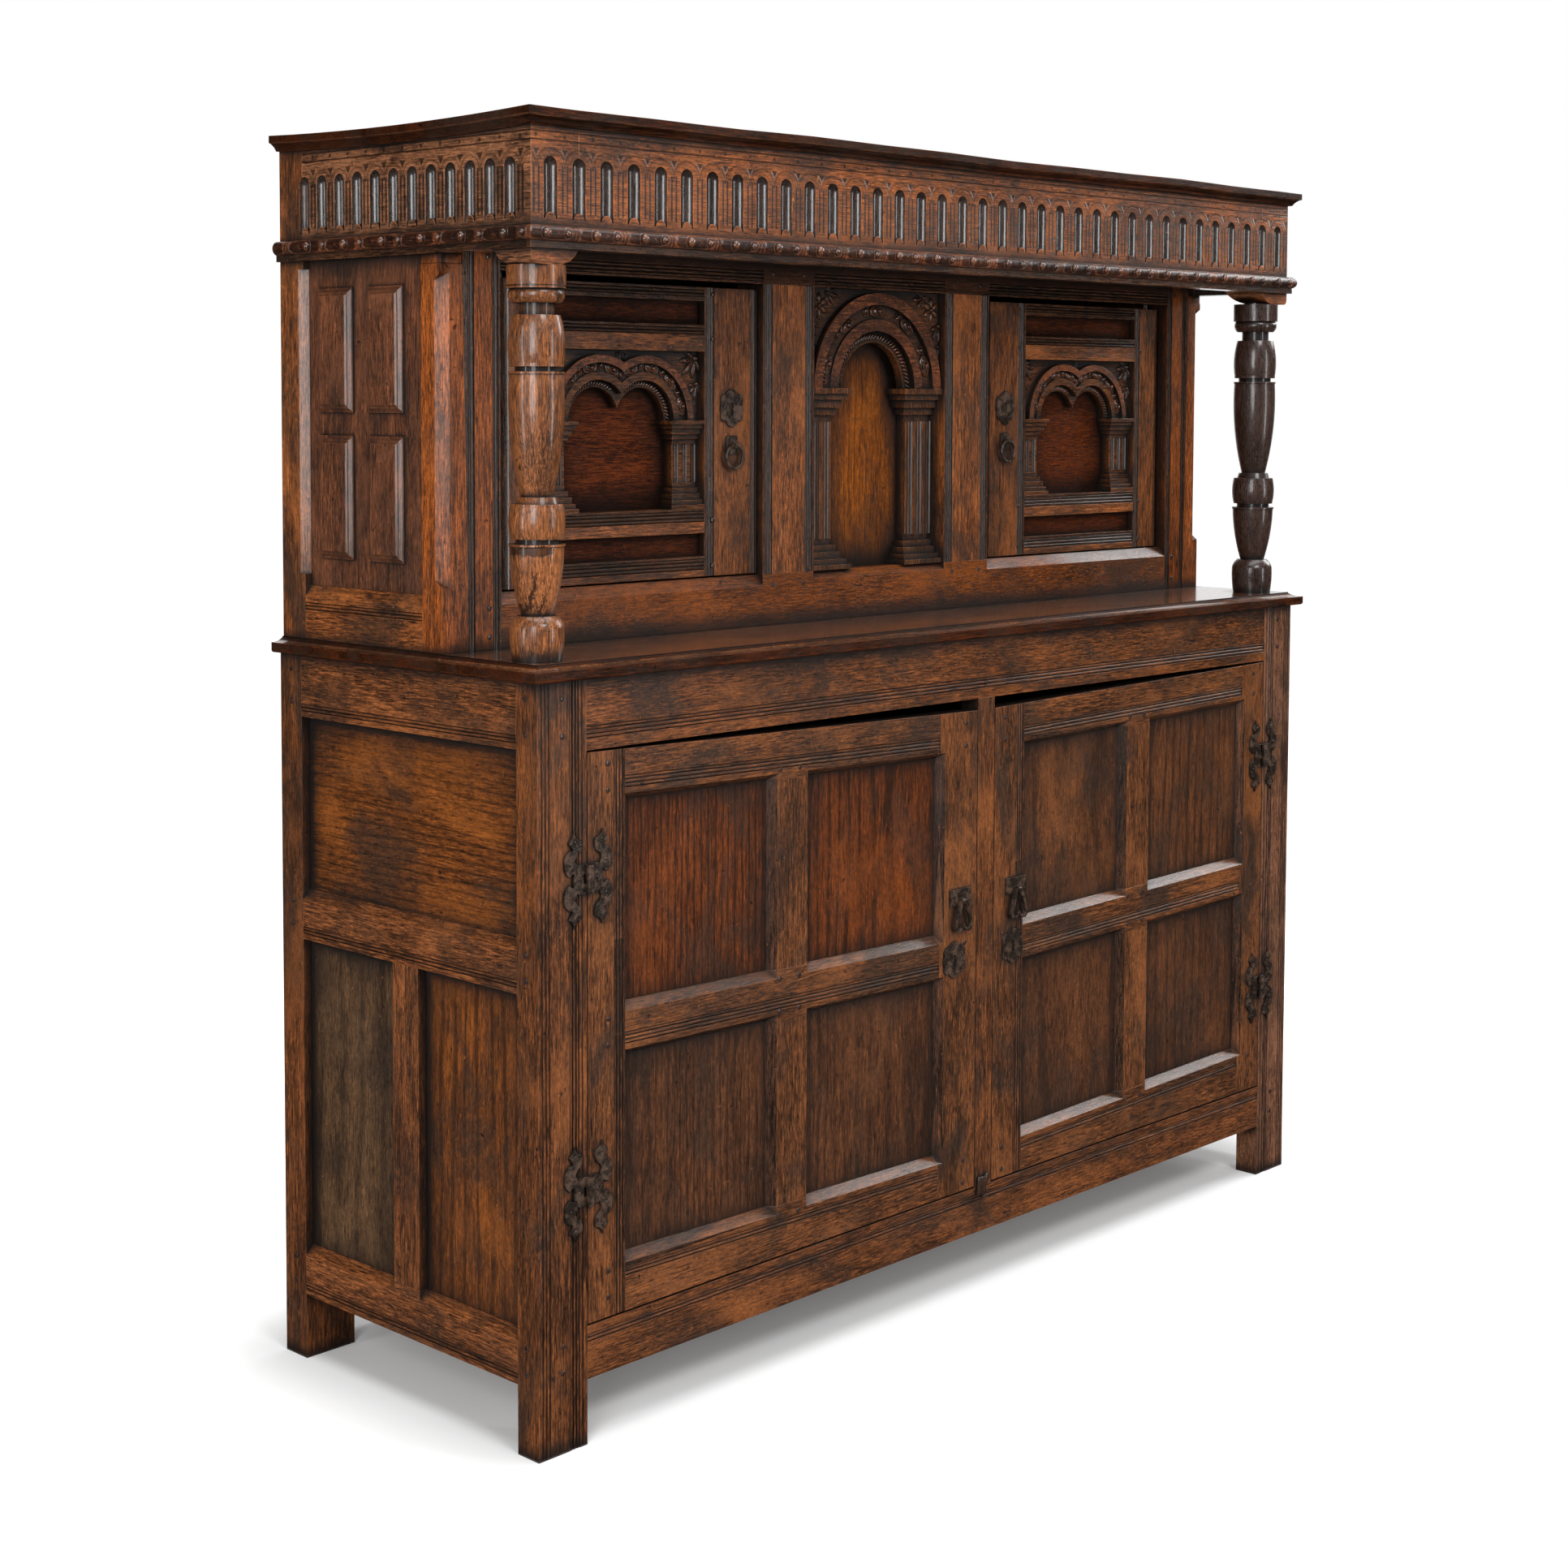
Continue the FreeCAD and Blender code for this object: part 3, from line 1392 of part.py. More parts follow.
def baluster():
    """Left baluster, turned in one piece with a round tenon at the top."""
    z = [upper_base_z]
    for height in (baluster_base_height, baluster_shoulder_height, baluster_vase_height,
                   baluster_ring_height, baluster_groove_height, baluster_barrel_height, baluster_collar_height,
                   baluster_long_vase_height, baluster_ring_height, baluster_groove_height,
                   baluster_lip_height, baluster_tall_barrel_height, baluster_high_neck_height,
                   baluster_torus_height):
        z.append(z[-1] + height)
    top = canopy_bottom_z - corner_block_drop
    neck = baluster_neck_radius
    body = baluster_body_radius
    groove = baluster_groove_radius
    base = baluster_base_radius
    shoulder = baluster_shoulder_radius
    cap = baluster_capital_radius
    high_neck = baluster_high_neck_radius
    ring = baluster_ring_height
    swell = (neck + body) / 2
    steps = [(0, z[0]), (base - ring, z[0]), ((base, (z[0] + z[1]) / 2), (base, z[1])),
             ((base - ring, (z[1] + z[2]) / 2), (shoulder, z[2])), (neck, z[2]),
             ((swell + ring, (z[2] + z[3]) / 2), (body - ring / 2, z[3])), (body, z[3]), (body, z[4]),
             (groove, z[4]), (groove, z[5]), (body - ring, z[5]),
             ((body, (z[5] + z[6]) / 2), (body - ring, z[6])), (groove, z[6]), (groove - ring, z[7]),
             (neck, z[7]), ((swell + ring * 2, (z[7] + z[8]) / 2), (body - ring / 2, z[8])), (body, z[8]),
             (body, z[9]), (groove, z[9]), (groove, z[10]), (body - ring / 2, z[10]),
             (body - ring / 2, z[11]),
             ((body, (z[11] + z[12]) / 2 - ring), (body - ring * 2, z[12])), (high_neck, z[12]),
             (high_neck, z[13]), (body - ring * 2, z[13]),
             ((body, (z[13] + z[14]) / 2), (body - ring, z[14])), (cap, z[14]), (cap, top), (neck, top),
             (neck, top + corner_block_drop), (0, top + corner_block_drop)]
    solid = flat("xz", steps, 0).revolve(origin, along_z, 360)
    x, y = baluster_xy()
    solid.translate(FreeCAD.Vector(x, y, 0))
    return solid


# Ironwork

def sized(steps, x, z, wide, tall):
    """Outline steps in shares of a width and a height, about a centre."""
    result = []
    for step in steps:
        if isinstance(step[0], tuple):
            result.append(tuple((x + wide * a, z + tall * b) for a, b in step))
        else:
            result.append((x + wide * step[0], z + tall * step[1]))
    return result


def hinge_leaf(knuckles):
    """A cock's head leaf to the right of the pin, with its knuckles at the given heights."""
    face = front_y
    y0 = face - hinge_leaf_thickness
    wide = hinge_leaf_width
    tall = hinge_leaf_half_height
    upper = sized(hinge_plate_shares, 0, 0, wide, tall)
    lower = sized(reversed(hinge_plate_shares), 0, 0, wide, -tall)
    root = upper[0][1]
    plate = [(hinge_pin_radius, root)] + upper + lower + [(hinge_pin_radius, -root)]
    pieces = [prism("xz", plate, y0, face)]
    for half in (tall, -tall):
        pieces.append(prism("xz", sized(hinge_head_shares, 0, 0, wide, half), y0, face))
    axis_y = face - hinge_barrel_standoff
    for low, high in knuckles:
        pieces.append(rod(hinge_barrel_radius, 0, axis_y, low, high - low, along_z))
        pieces.append(block(0, hinge_barrel_radius + hinge_pin_radius, y0, face, low, high))
    return joined(pieces)


def hinge_knuckles():
    """Heights of the frame knuckles and of the door knuckle, about the hinge centre."""
    half = hinge_knuckle_length / 2
    gap = hinge_knuckle_gap
    outer = half + gap + hinge_knuckle_length
    return [(-outer, -half - gap), (half + gap, outer)], [(-half, half)]


def hinge_axis(side):
    """Axis of a lower door."""
    return side * (inner_stile_x - lower_door_gap / 2), front_y - hinge_barrel_standoff


def placed_leaf(leaf, side, height, onto_door):
    """A leaf moved to its hinge; the drawing reaches to the right of the pin."""
    x, y = hinge_axis(side)
    piece = leaf
    if (side < 0) != onto_door:
        piece = mirrored(leaf)
    piece = piece.copy()
    piece.translate(FreeCAD.Vector(x, 0, height))
    return piece


def hinge_heights():
    """Centres of the two hinges of a door."""
    return (lower_hinge_low_centre, lower_hinge_high_centre)


def frame_leaves():
    """Four leaves on the stiles, each with its pin."""
    outer, inner = hinge_knuckles()
    reach = outer[1][1]
    leaf = hinge_leaf(outer)
    x, y = hinge_axis(1)
    pin = rod(hinge_pin_radius, 0, front_y - hinge_barrel_standoff, -reach, 2 * reach, along_z)
    clear = hinge_pin_radius + hinge_barrel_radius
    middle = block(-clear, clear, y - clear, front_y + overrun, inner[0][0] - hinge_knuckle_gap,
                   inner[0][1] + hinge_knuckle_gap)
    leaf = less(leaf, [middle, pin])
    pieces = []
    for side in (-1, 1):
        for height in hinge_heights():
            for piece in (leaf, pin):
                pieces += placed_leaf(piece, side, height, False).Solids
    return pieces


def door_leaves(side):
    """Two leaves on a door."""
    outer, inner = hinge_knuckles()
    leaf = hinge_leaf(inner)
    reach = outer[1][1]
    y = front_y - hinge_barrel_standoff
    bore = rod(hinge_pin_radius + hinge_running_clearance, 0, y, -reach, 2 * reach, along_z)
    clear = hinge_pin_radius + hinge_barrel_radius
    waste = [bore]
    for low, high in outer:
        waste.append(block(-clear, clear, y - clear, front_y + overrun, low - hinge_knuckle_gap,
                           high + hinge_knuckle_gap))
    leaf = less(leaf, waste)
    return [piece for height in hinge_heights() for piece in placed_leaf(leaf, side, height, True).Solids]


def escutcheon(x, z, face, width, height):
    """A lobed keyhole plate."""
    y0 = face - plate_thickness
    plate = prism("xz", sized(escutcheon_shares, x, z, width / 2, height / 2), y0, face)
    eye_z = z + keyhole_slot_length * keyhole_rise_share
    hole = rod(keyhole_radius, x, y0 - overrun, eye_z, plate_thickness + 2 * overrun, along_y)
    slot = block(x - keyhole_slot_width / 2, x + keyhole_slot_width / 2, y0 - overrun, face + overrun,
                 eye_z - keyhole_slot_length, eye_z)
    return less(plate, [hole, slot])


def lug(x, z, face, width, bore):
    """A staple with a cross bore, standing out of a plate."""
    y0 = face - lug_reach
    radius = lug_height / 2
    stem = block(x - width / 2, x + width / 2, y0 + radius, face, z - radius, z + radius)
    eye = rod(radius, x - width / 2, y0 + radius, z, width, along_x)
    hole = rod(bore, x - width, y0 + radius, z, 2 * width, along_x)
    return less(joined([stem, eye]), [hole])


def lug_axis_y(face):
    """Depth of the axis of a staple on a face."""
    return face - lug_reach + lug_height / 2


def lower_handle_x(side):
    """Middle of the drop handle of a lower door."""
    left, right, low, high = lower_door_span(side)
    return right - lower_handle_inset if side < 0 else left + lower_handle_inset + right_handle_offset


def lower_handle_plates(side):
    """Backplate with its staple, and the keyhole plate below."""
    x = lower_handle_x(side)
    z = lower_handle_height
    face = front_y
    y0 = face - plate_thickness
    low = z - lug_height / 2 - plate_thickness
    plate = block(x - handle_plate_width / 2, x + handle_plate_width / 2, y0, face, low,
                  low + handle_plate_height)
    staple = lug(x, z, face, lug_width, loop_wire_radius + loop_clearance)
    key_x = x - (left_escutcheon_offset if side < 0 else right_escutcheon_offset)
    return [joined([plate, staple]), escutcheon(key_x, z - escutcheon_drop, face, escutcheon_width,
                                                escutcheon_height)]


def drop_loop(side):
    """Pear shaped loop that hangs from its staple."""
    x = lower_handle_x(side)
    z = lower_handle_height
    y = lug_axis_y(front_y)
    wire = loop_wire_radius
    bar = loop_bar_half_length
    half = loop_width / 2
    low = z - loop_height
    round_z = low + half / 2 + wire

    def ring(inset):
        edge = half - inset
        cusp = low + loop_cusp_height + inset
        shoulder = edge * loop_shoulder_share
        foot = low + inset + wire / 2
        top = z + wire - inset
        return [(x - bar + inset, top), (x + bar - inset, top), (x + edge, round_z + wire),
                ((x + shoulder, foot), (x + loop_cusp_half_width, cusp)), (x - loop_cusp_half_width, cusp),
                ((x - shoulder, foot), (x - edge, round_z + wire))]
    outer = prism("xz", ring(0), y - wire, y + wire)
    inner = prism("xz", ring(2 * wire), y - wire - overrun, y + wire + overrun)
    body = outer.cut(inner)
    mouth = lug_width / 2 + loop_clearance + wire / 4
    body = body.cut(block(x - mouth, x + mouth, y - wire - overrun, y + wire + overrun,
                          z - lug_height, z + lug_height))
    return joined([body, rod(wire, x - bar, y, z, 2 * bar, along_x)])


def upper_handle_x():
    """Middle of the ring on the right upper door."""
    left = upper_door_span()[0]
    return left + upper_meeting_stile_width / 2


def upper_handle_z():
    """Height of the ring staple."""
    return upper_base_z + ring_height


def upper_handle_plates():
    """Plate with the ring staple, and the keyhole plate above, for the right upper door."""
    x = upper_handle_x()
    z = upper_handle_z()
    face = upper_front_y + upper_door_recess
    plate = block(x - upper_plate_width / 2, x + upper_plate_width / 2, face - plate_thickness, face,
                  z - upper_plate_height / 2, z + upper_plate_height / 2)
    staple = lug(x, z, face, ring_lug_width, ring_wire_radius + ring_clearance)
    return [joined([plate, staple]), escutcheon(x, z + upper_escutcheon_rise, face, upper_escutcheon_width,
                                                upper_escutcheon_height)]


def pull_ring():
    """Ring pull of the right upper door."""
    y = lug_axis_y(upper_front_y + upper_door_recess)
    return Part.makeTorus(ring_radius, ring_wire_radius,
                          FreeCAD.Vector(upper_handle_x(), y, upper_handle_z() - ring_radius), along_y)


# All nodes, by name

def both(piece):
    """A piece and its mirror image."""
    return [piece, mirrored(piece)]


def several(pieces):
    """A group of mirror images."""
    return [mirrored(piece) for piece in pieces]


def carcase_nodes():
    """Nodes of the lower stage."""
    top, low = front_rails_lower()
    stile = lower_front_stile()
    rails = [on_left_side(piece) for piece in left_side_rails()]
    panels = [on_left_side(piece) for piece in left_side_panels()]
    boards = planks(lower_back_envelope(), 0, -inner_stile_x, inner_stile_x, back_board_count)
    return {
        "lower_front_left_stile": [stile],
        "lower_front_right_stile": [mirrored(stile)],
        "lower_back_stiles": both(lower_back_stile()),
        "lower_front_top_rail": [top],
        "lower_front_bottom_rail": [low],
        "lower_centre_muntin": [upright(*centre_muntin_span(), front_y, rail_thickness)],
        "lower_left_side_rails": rails,
        "lower_right_side_rails": several(rails),
        "lower_side_muntins": both(on_left_side(left_side_muntin())),
        "lower_left_side_panels": panels,
        "lower_right_side_panels": several(panels),
        "lower_back_rails": lower_back_rails(),
        "lower_back_boards": boards.Solids,
        "lower_floor_boards": lower_floor(),
    }


def upper_nodes():
    """Nodes of the upper stage and the boards."""
    stile = upper_front_stile()
    side = [on_left_side(piece) for piece in left_upper_side_panel()]
    boards = planks(upper_back_envelope(), 0, -upper_half_width, upper_half_width, back_board_count)
    return {
        "mid_board": mid_board(),
        "upper_front_left_stile": [stile],
        "upper_front_right_stile": [mirrored(stile)],
        "upper_front_sill_rail": [upper_sill_rail()],
        "upper_front_head_rail": [upper_head_rail()],
        "upper_muntins": upper_muntins(),
        "centre_panel": [centre_panel()],
        "centre_arch": [centre_arch()],
        "centre_pilasters": centre_pilasters(),
        "upper_left_side_panel": side,
        "upper_right_side_panel": several(side),
        "upper_side_sill_rails": both(on_left_side(left_upper_side_rail())),
        "upper_back_stiles": both(upper_back_stile()),
        "upper_back_boards": boards.Solids,
        "upper_door_pivot_pins": pivot_pins(),
    }


def canopy_nodes():
    """Nodes of the canopy."""
    turned = baluster()
    return {
        "left_baluster": [turned],
        "right_baluster": [mirrored(turned)],
        "canopy_corner_blocks": both(corner_block()),
        "frieze_front_board": [frieze_front()],
        "frieze_side_boards": both(frieze_side()),
        "bead_mouldings": bead_mouldings(),
        "canopy_soffit_boards": soffit_boards(),
        "top_board": top_board(),
    }


def door_nodes():
    """Nodes of the four doors."""
    frame = upper_door_frame()
    strips = upper_door_panels()
    arches = upper_door_arches()
    return {
        "lower_left_door_frame": lower_door_frame(-1),
        "lower_left_door_panels": lower_door_panels(-1),
        "lower_right_door_frame": lower_door_frame(1),
        "lower_right_door_panels": lower_door_panels(1),
        "upper_left_door_frame": several(frame),
        "upper_left_door_panels": several(strips),
        "upper_left_door_arches": several(arches),
        "upper_right_door_frame": frame,
        "upper_right_door_panels": strips,
        "upper_right_door_arches": arches,
    }


def iron_nodes():
    """Nodes of the ironwork."""
    plates = upper_handle_plates()
    ring = pull_ring()
    return {
        "lower_hinge_frame_leaves": frame_leaves(),
        "lower_left_door_hinge_leaves": door_leaves(-1),
        "lower_right_door_hinge_leaves": door_leaves(1),
        "lower_left_handle_plates": lower_handle_plates(-1),
        "lower_right_handle_plates": lower_handle_plates(1),
        "lower_left_drop_loop": [drop_loop(-1)],
        "lower_right_drop_loop": [drop_loop(1)],
        "upper_left_handle_plates": several(plates),
        "upper_right_handle_plates": plates,
        "upper_left_ring": [mirrored(ring)],
        "upper_right_ring": [ring],
    }


def write_nodes(nodes):
    """One file per node."""
    for name, pieces in nodes.items():
        shape = pieces[0] if len(pieces) == 1 else Part.makeCompound(pieces)
        shape.exportStep("parts/" + name + ".step")


os.makedirs("parts", exist_ok=True)
write_nodes(carcase_nodes())
write_nodes(upper_nodes())
write_nodes(canopy_nodes())
write_nodes(door_nodes())
write_nodes(iron_nodes())
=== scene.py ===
"""Looks of a joined oak court cupboard: carving, ironwork, pegs and finishes laid over its fixed frame."""

import logging
import math
import random
from collections.abc import Callable
from dataclasses import dataclass
from enum import Enum

import bmesh
import bpy
from mathutils import Matrix, Vector


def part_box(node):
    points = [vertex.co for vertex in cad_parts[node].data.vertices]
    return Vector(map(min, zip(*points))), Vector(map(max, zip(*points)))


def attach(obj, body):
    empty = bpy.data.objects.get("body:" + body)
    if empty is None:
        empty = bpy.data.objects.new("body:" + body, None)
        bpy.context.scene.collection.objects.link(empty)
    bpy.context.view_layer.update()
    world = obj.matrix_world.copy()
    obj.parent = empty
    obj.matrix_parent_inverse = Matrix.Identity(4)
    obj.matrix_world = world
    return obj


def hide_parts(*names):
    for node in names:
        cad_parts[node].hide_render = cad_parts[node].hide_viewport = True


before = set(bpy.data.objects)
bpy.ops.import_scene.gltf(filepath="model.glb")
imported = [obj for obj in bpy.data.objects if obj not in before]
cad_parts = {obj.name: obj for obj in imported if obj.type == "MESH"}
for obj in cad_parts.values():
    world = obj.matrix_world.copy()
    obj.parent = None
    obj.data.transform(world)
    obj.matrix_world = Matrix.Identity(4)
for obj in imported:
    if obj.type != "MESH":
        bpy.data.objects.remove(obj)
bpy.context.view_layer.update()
log = logging.getLogger("court_cupboard")

MM = 0.001
Colour = tuple[float, float, float]
Span = tuple[float, float]
Socket = bpy.types.NodeSocket
Value = float | Socket
Chooser = Callable[[Vector, Vector, Vector], int]


class Grain(Enum):
    """The direction that a member's fibres run in."""

    ACROSS = 0
    DEEP = 1
    UP = 2


def shade(red: int, green: int, blue: int) -> Colour:
    """A colour as it is seen on screen, made linear.

    Args:
        red: red, 0 to 255
        green: green, 0 to 255
        blue: blue, 0 to 255

    Returns:
        the three linear values
    """
    values = [v / 255 for v in (red, green, blue)]
    return tuple(v / 12.92 if v <= 0.04045 else ((v + 0.055) / 1.055) ** 2.4 for v in values)


def darker(colour: Colour, share: float) -> Colour:
    """A colour with only a share of its light left."""
    return tuple(v * share for v in colour)


class Nodes:
    """Adds and joins the nodes of one tree."""

    def __init__(self, tree: bpy.types.NodeTree) -> None:
        """Takes up a tree.

        Args:
            tree: the tree
        """
        self.tree = tree

    def add(self, kind: str, inputs: dict | None = None, **settings) -> bpy.types.Node:
        """Adds a node.

        Args:
            kind: Blender's name of the node type
            inputs: socket name or number to value or socket
            settings: the node's own settings

        Returns:
            the node
        """
        node = self.tree.nodes.new(kind)
        for key, value in settings.items():
            setattr(node, key, value)
        for key, value in (inputs or {}).items():
            if isinstance(value, Socket):
                self.tree.links.new(value, node.inputs[key])
            else:
                node.inputs[key].default_value = value
        return node

    def math(self, operation: str, first: Value, second: Value = 0.0, clamp: bool = False) -> Socket:
        """Works out one value from one or two.

        Args:
            operation: Blender's name of the operation
            first: a number or socket
            second: a number or socket
            clamp: whether the result stays between 0 and 1

        Returns:
            the result's socket
        """
        node = self.add("ShaderNodeMath", {0: first, 1: second}, operation=operation, use_clamp=clamp)
        return node.outputs[0]

    def plus(self, first: Value, second: Value) -> Socket:
        """The sum of two values."""
        return self.math("ADD", first, second)

    def minus(self, first: Value, second: Value) -> Socket:
        """The first value less the second."""
        return self.math("SUBTRACT", first, second)

    def times(self, first: Value, second: Value) -> Socket:
        """The product of two values."""
        return self.math("MULTIPLY", first, second)

    def over(self, first: Value, second: Value) -> Socket:
        """The first value divided by the second."""
        return self.math("DIVIDE", first, second)

    def most(self, first: Value, second: Value) -> Socket:
        """The greater of two values."""
        return self.math("MAXIMUM", first, second)

    def unsigned(self, value: Value) -> Socket:
        """A value without its sign."""
        return self.math("ABSOLUTE", value)

    def squares(self, first: Value, second: Value) -> Socket:
        """The sum of the squares of two values."""
        return self.plus(self.times(first, first), self.times(second, second))

    def seen(self) -> Socket:
        """1 for rays from the eye, off polish and through glass, and 0 for all others."""
        rays = self.add("ShaderNodeLightPath").outputs
        return self.most(rays["Is Camera Ray"], self.most(rays["Is Glossy Ray"], rays["Is Transmission Ray"]))


class Graph(Nodes):
    """The nodes of one material."""

    def __init__(self, name: str) -> None:
        """Starts an empty material with a surface output.

        Args:
            name: the material's name
        """
        self.material = bpy.data.materials.new(name)
        self.material.use_nodes = True
        super().__init__(self.material.node_tree)
        self.tree.nodes.clear()
        self.output = self.add("ShaderNodeOutputMaterial")
        self.place = self.add("ShaderNodeTexCoord").outputs["Object"]

    def span(self, value: Value, low: float, high: float, to_low: float = 0.0, to_high: float = 1.0) -> Socket:
        """Maps a value smoothly from one range to another, held at its ends.

        Args:
            value: the socket
            low: the value that gives to_low
            high: the value that gives to_high
            to_low: result at low
            to_high: result at high

        Returns:
            the result's socket
        """
        inputs = {0: value, 1: low, 2: high, 3: to_low, 4: to_high}
        return self.add("ShaderNodeMapRange", inputs, interpolation_type="SMOOTHSTEP").outputs[0]

    def near(self, value: Value, centre: Value, full: float, gone: float) -> Socket:
        """1 where a value is close to a centre.

        Args:
            value: the value
            centre: the centre
            full: how far from it the result is still 1
            gone: how far from it the result has come down to 0

        Returns:
            the result's socket
        """
        return self.span(self.unsigned(self.minus(value, centre)), full, gone, 1, 0)

    def within(self, value: Value, low: float, high: float) -> Socket:
        """1 between two values, and 0 outside them."""
        return self.times(self.math("GREATER_THAN", value, low), self.math("LESS_THAN", value, high))

    def repeated(self, along: Socket, start: float, pitch: float) -> Socket:
        """Signed distance from the nearest of a row of places, in millimetres.

        Args:
            along: the place along the row, in metres
            start: one of the places, in millimetres
            pitch: distance between them, in millimetres

        Returns:
            the distance's socket
        """
        step = self.plus(self.over(self.minus(along, start * MM), pitch * MM), 0.5)
        return self.times(self.minus(self.math("FRACT", step), 0.5), pitch)

    def blend(self, amount: Value, first: Colour | Socket, second: Colour | Socket, how: str = "MIX") -> Socket:
        """Mixes two colours.

        Args:
            amount: how much of the second, a number or socket
            first: a colour or socket
            second: a colour or socket
            how: Blender's name of the way to mix

        Returns:
            the colour's socket
        """
        first, second = (colour if isinstance(colour, Socket) else (*colour, 1) for colour in (first, second))
        inputs = {0: amount, 6: first, 7: second}
        return self.add("ShaderNodeMix", inputs, data_type="RGBA", blend_type=how).outputs[2]

    def scaled(self, scale: tuple, location: tuple = (0, 0, 0), turn: tuple = (0, 0, 0)) -> Socket:
        """The place on the piece, stretched, turned and moved.

        Args:
            scale: stretch along each axis
            location: shift, after the stretch
            turn: turn in radians

        Returns:
            the vector's socket
        """
        return self.add("ShaderNodeMapping", {0: self.place, 1: location, 2: turn, 3: scale}).outputs[0]

    def noise(self, vector: Socket, scale: float, detail: float = 2.0, rough: float = 0.5,
              warp: float = 0.0) -> Socket:
        """Cloudy noise from about 0.25 to 0.75.

        Args:
            vector: where it is read
            scale: waves per metre
            detail: octaves
            rough: strength of the finer octaves
            warp: distortion

        Returns:
            the value's socket
        """
        inputs = {"Vector": vector, "Scale": scale, "Detail": detail, "Roughness": rough, "Distortion": warp}
        return self.add("ShaderNodeTexNoise", inputs).outputs[0]

    def parts(self) -> list[Socket]:
        """The place on the piece as its three values."""
        return list(self.add("ShaderNodeSeparateXYZ", {0: self.place}).outputs)

    def rounded(self, radius: float) -> Socket:
        """Normals that round the edges off, by a radius in metres."""
        return self.add("ShaderNodeBevel", {"Radius": radius}, samples=4).outputs[0]

    def bumped(self, height: Socket, normal: Socket, strength: float, depth: float) -> Socket:
        """Normals of a surface with relief.

        Args:
            height: the relief
            normal: normals without it
            strength: how much of it shows
            depth: height of 1 in the relief, in metres

        Returns:
            the normals' socket
        """
        inputs = {"Strength": strength, "Distance": depth, "Height": height, "Normal": normal}
        return self.add("ShaderNodeBump", inputs).outputs[0]

    def finished(self, surface: bpy.types.Node) -> bpy.types.Material:
        """Joins the surface to the output.

        Args:
            surface: the last node

        Returns:
            the material
        """
        self.tree.links.new(surface.outputs[0], self.output.inputs[0])
        return self.material


Marks = Callable[[Graph], Socket]


@dataclass(frozen=True)
class Layer:
    """One layer of noise in the wood.

    It has a stretch along and across the fibres, its waves, the levels between which it comes in, and whether it
    takes the board's shift backwards.
    """

    along: float = 1.0
    across: float = 1.0
    scale: float = 1.0
    octaves: float = 3.0
    rough: float = 0.7
    warp: float = 0.0
    levels: Span = (0.0, 1.0)
    flipped: bool = False


FINE = Layer(26, 460, octaves=5, rough=0.68)
BROAD = Layer(5, 26, octaves=4, rough=0.62, warp=0.5)
HAIR = Layer(50, 800, flipped=True)
PORES = Layer(44, 620, levels=(0.53, 0.66))
MOTTLE = Layer(0.55, scale=330, levels=(0.36, 0.64))
CLOUDS = Layer(0.6, scale=11, octaves=5, rough=0.65, warp=0.6, levels=(0.44, 0.64))
GLOW = Layer(0.6, scale=9, octaves=5, rough=0.65, warp=0.4, levels=(0.48, 0.68), flipped=True)
FLECKS = Layer(110, 430, octaves=2, rough=0.4, warp=0.8, levels=(0.58, 0.64))
FLECKED_PARTS = Layer(scale=9, octaves=1, rough=0.5, levels=(0.42, 0.6))
DENTS = Layer(scale=85, rough=0.6, warp=0.2, levels=(0.67, 0.74))
RUBBED_PARTS = Layer(scale=45, rough=0.6, levels=(0.40, 0.60))
SWELL = Layer(0.5, scale=16, octaves=2, rough=0.5)
SCUFF_STRETCH = (1.0, 1.0, 0.45)
SHIFT_REACH, LEAN_REACH, HEART_REACH = 9, 0.05, 0.35


class Wood(Graph):
    """The nodes of one oak material, read along the fibres of one board."""

    def __init__(self, name: str, grain: Grain, seed: int) -> None:
        """Starts the material and picks the board's place in the tree.

        Args:
            name: the material's name
            grain: direction of the fibres
            seed: which board
        """
        super().__init__(name)
        self.grain = grain
        pick = random.Random(seed * 7 + grain.value)
        self.shift, self.lean, self.heart = (
            tuple(pick.uniform(-reach, reach) for _ in range(3)) for reach in (SHIFT_REACH, LEAN_REACH, HEART_REACH))

    def stretched(self, along: float, across: float, shift: tuple, turn: tuple = (0, 0, 0)) -> Socket:
        """The place on the piece, stretched by the fibres.

        Args:
            along: scale along the fibres
            across: scale across them
            shift: shift, after the stretch
            turn: turn in radians

        Returns:
            the vector's socket
        """
        scale = [across] * 3
        scale[self.grain.value] = along
        return self.scaled(tuple(scale), shift, turn)

    def layer(self, layer: Layer) -> Socket:
        """Reads one layer of noise.

        Args:
            layer: the layer

        Returns:
            the value's socket
        """
        place = self.stretched(layer.along, layer.across, self.shift[::-1] if layer.flipped else self.shift)
        return self.noise(place, layer.scale, layer.octaves, layer.rough, layer.warp)

    def mask(self, layer: Layer, to_low: float = 0.0, to_high: float = 1.0) -> Socket:
        """Reads one layer of noise between its levels.

        Args:
            layer: the layer
            to_low: result where the layer is thin
            to_high: result where it is thick

        Returns:
            the value's socket
        """
        return self.span(self.layer(layer), *layer.levels, to_low, to_high)

    def rings(self, scale: float) -> Socket:
        """Growth rings round a heart that leans a little.

        Args:
            scale: rings per metre, about

        Returns:
            the value's socket
        """
        return self.add("ShaderNodeTexWave", {
            "Vector": self.stretched(0.16, 1, self.heart, self.lean), "Scale": scale, "Distortion": 5.5,
            "Detail": 2.0, "Detail Scale": 0.55, "Detail Roughness": 0.55,
        }, wave_type="RINGS", rings_direction="XYZ"[self.grain.value], wave_profile="SIN").outputs[1]


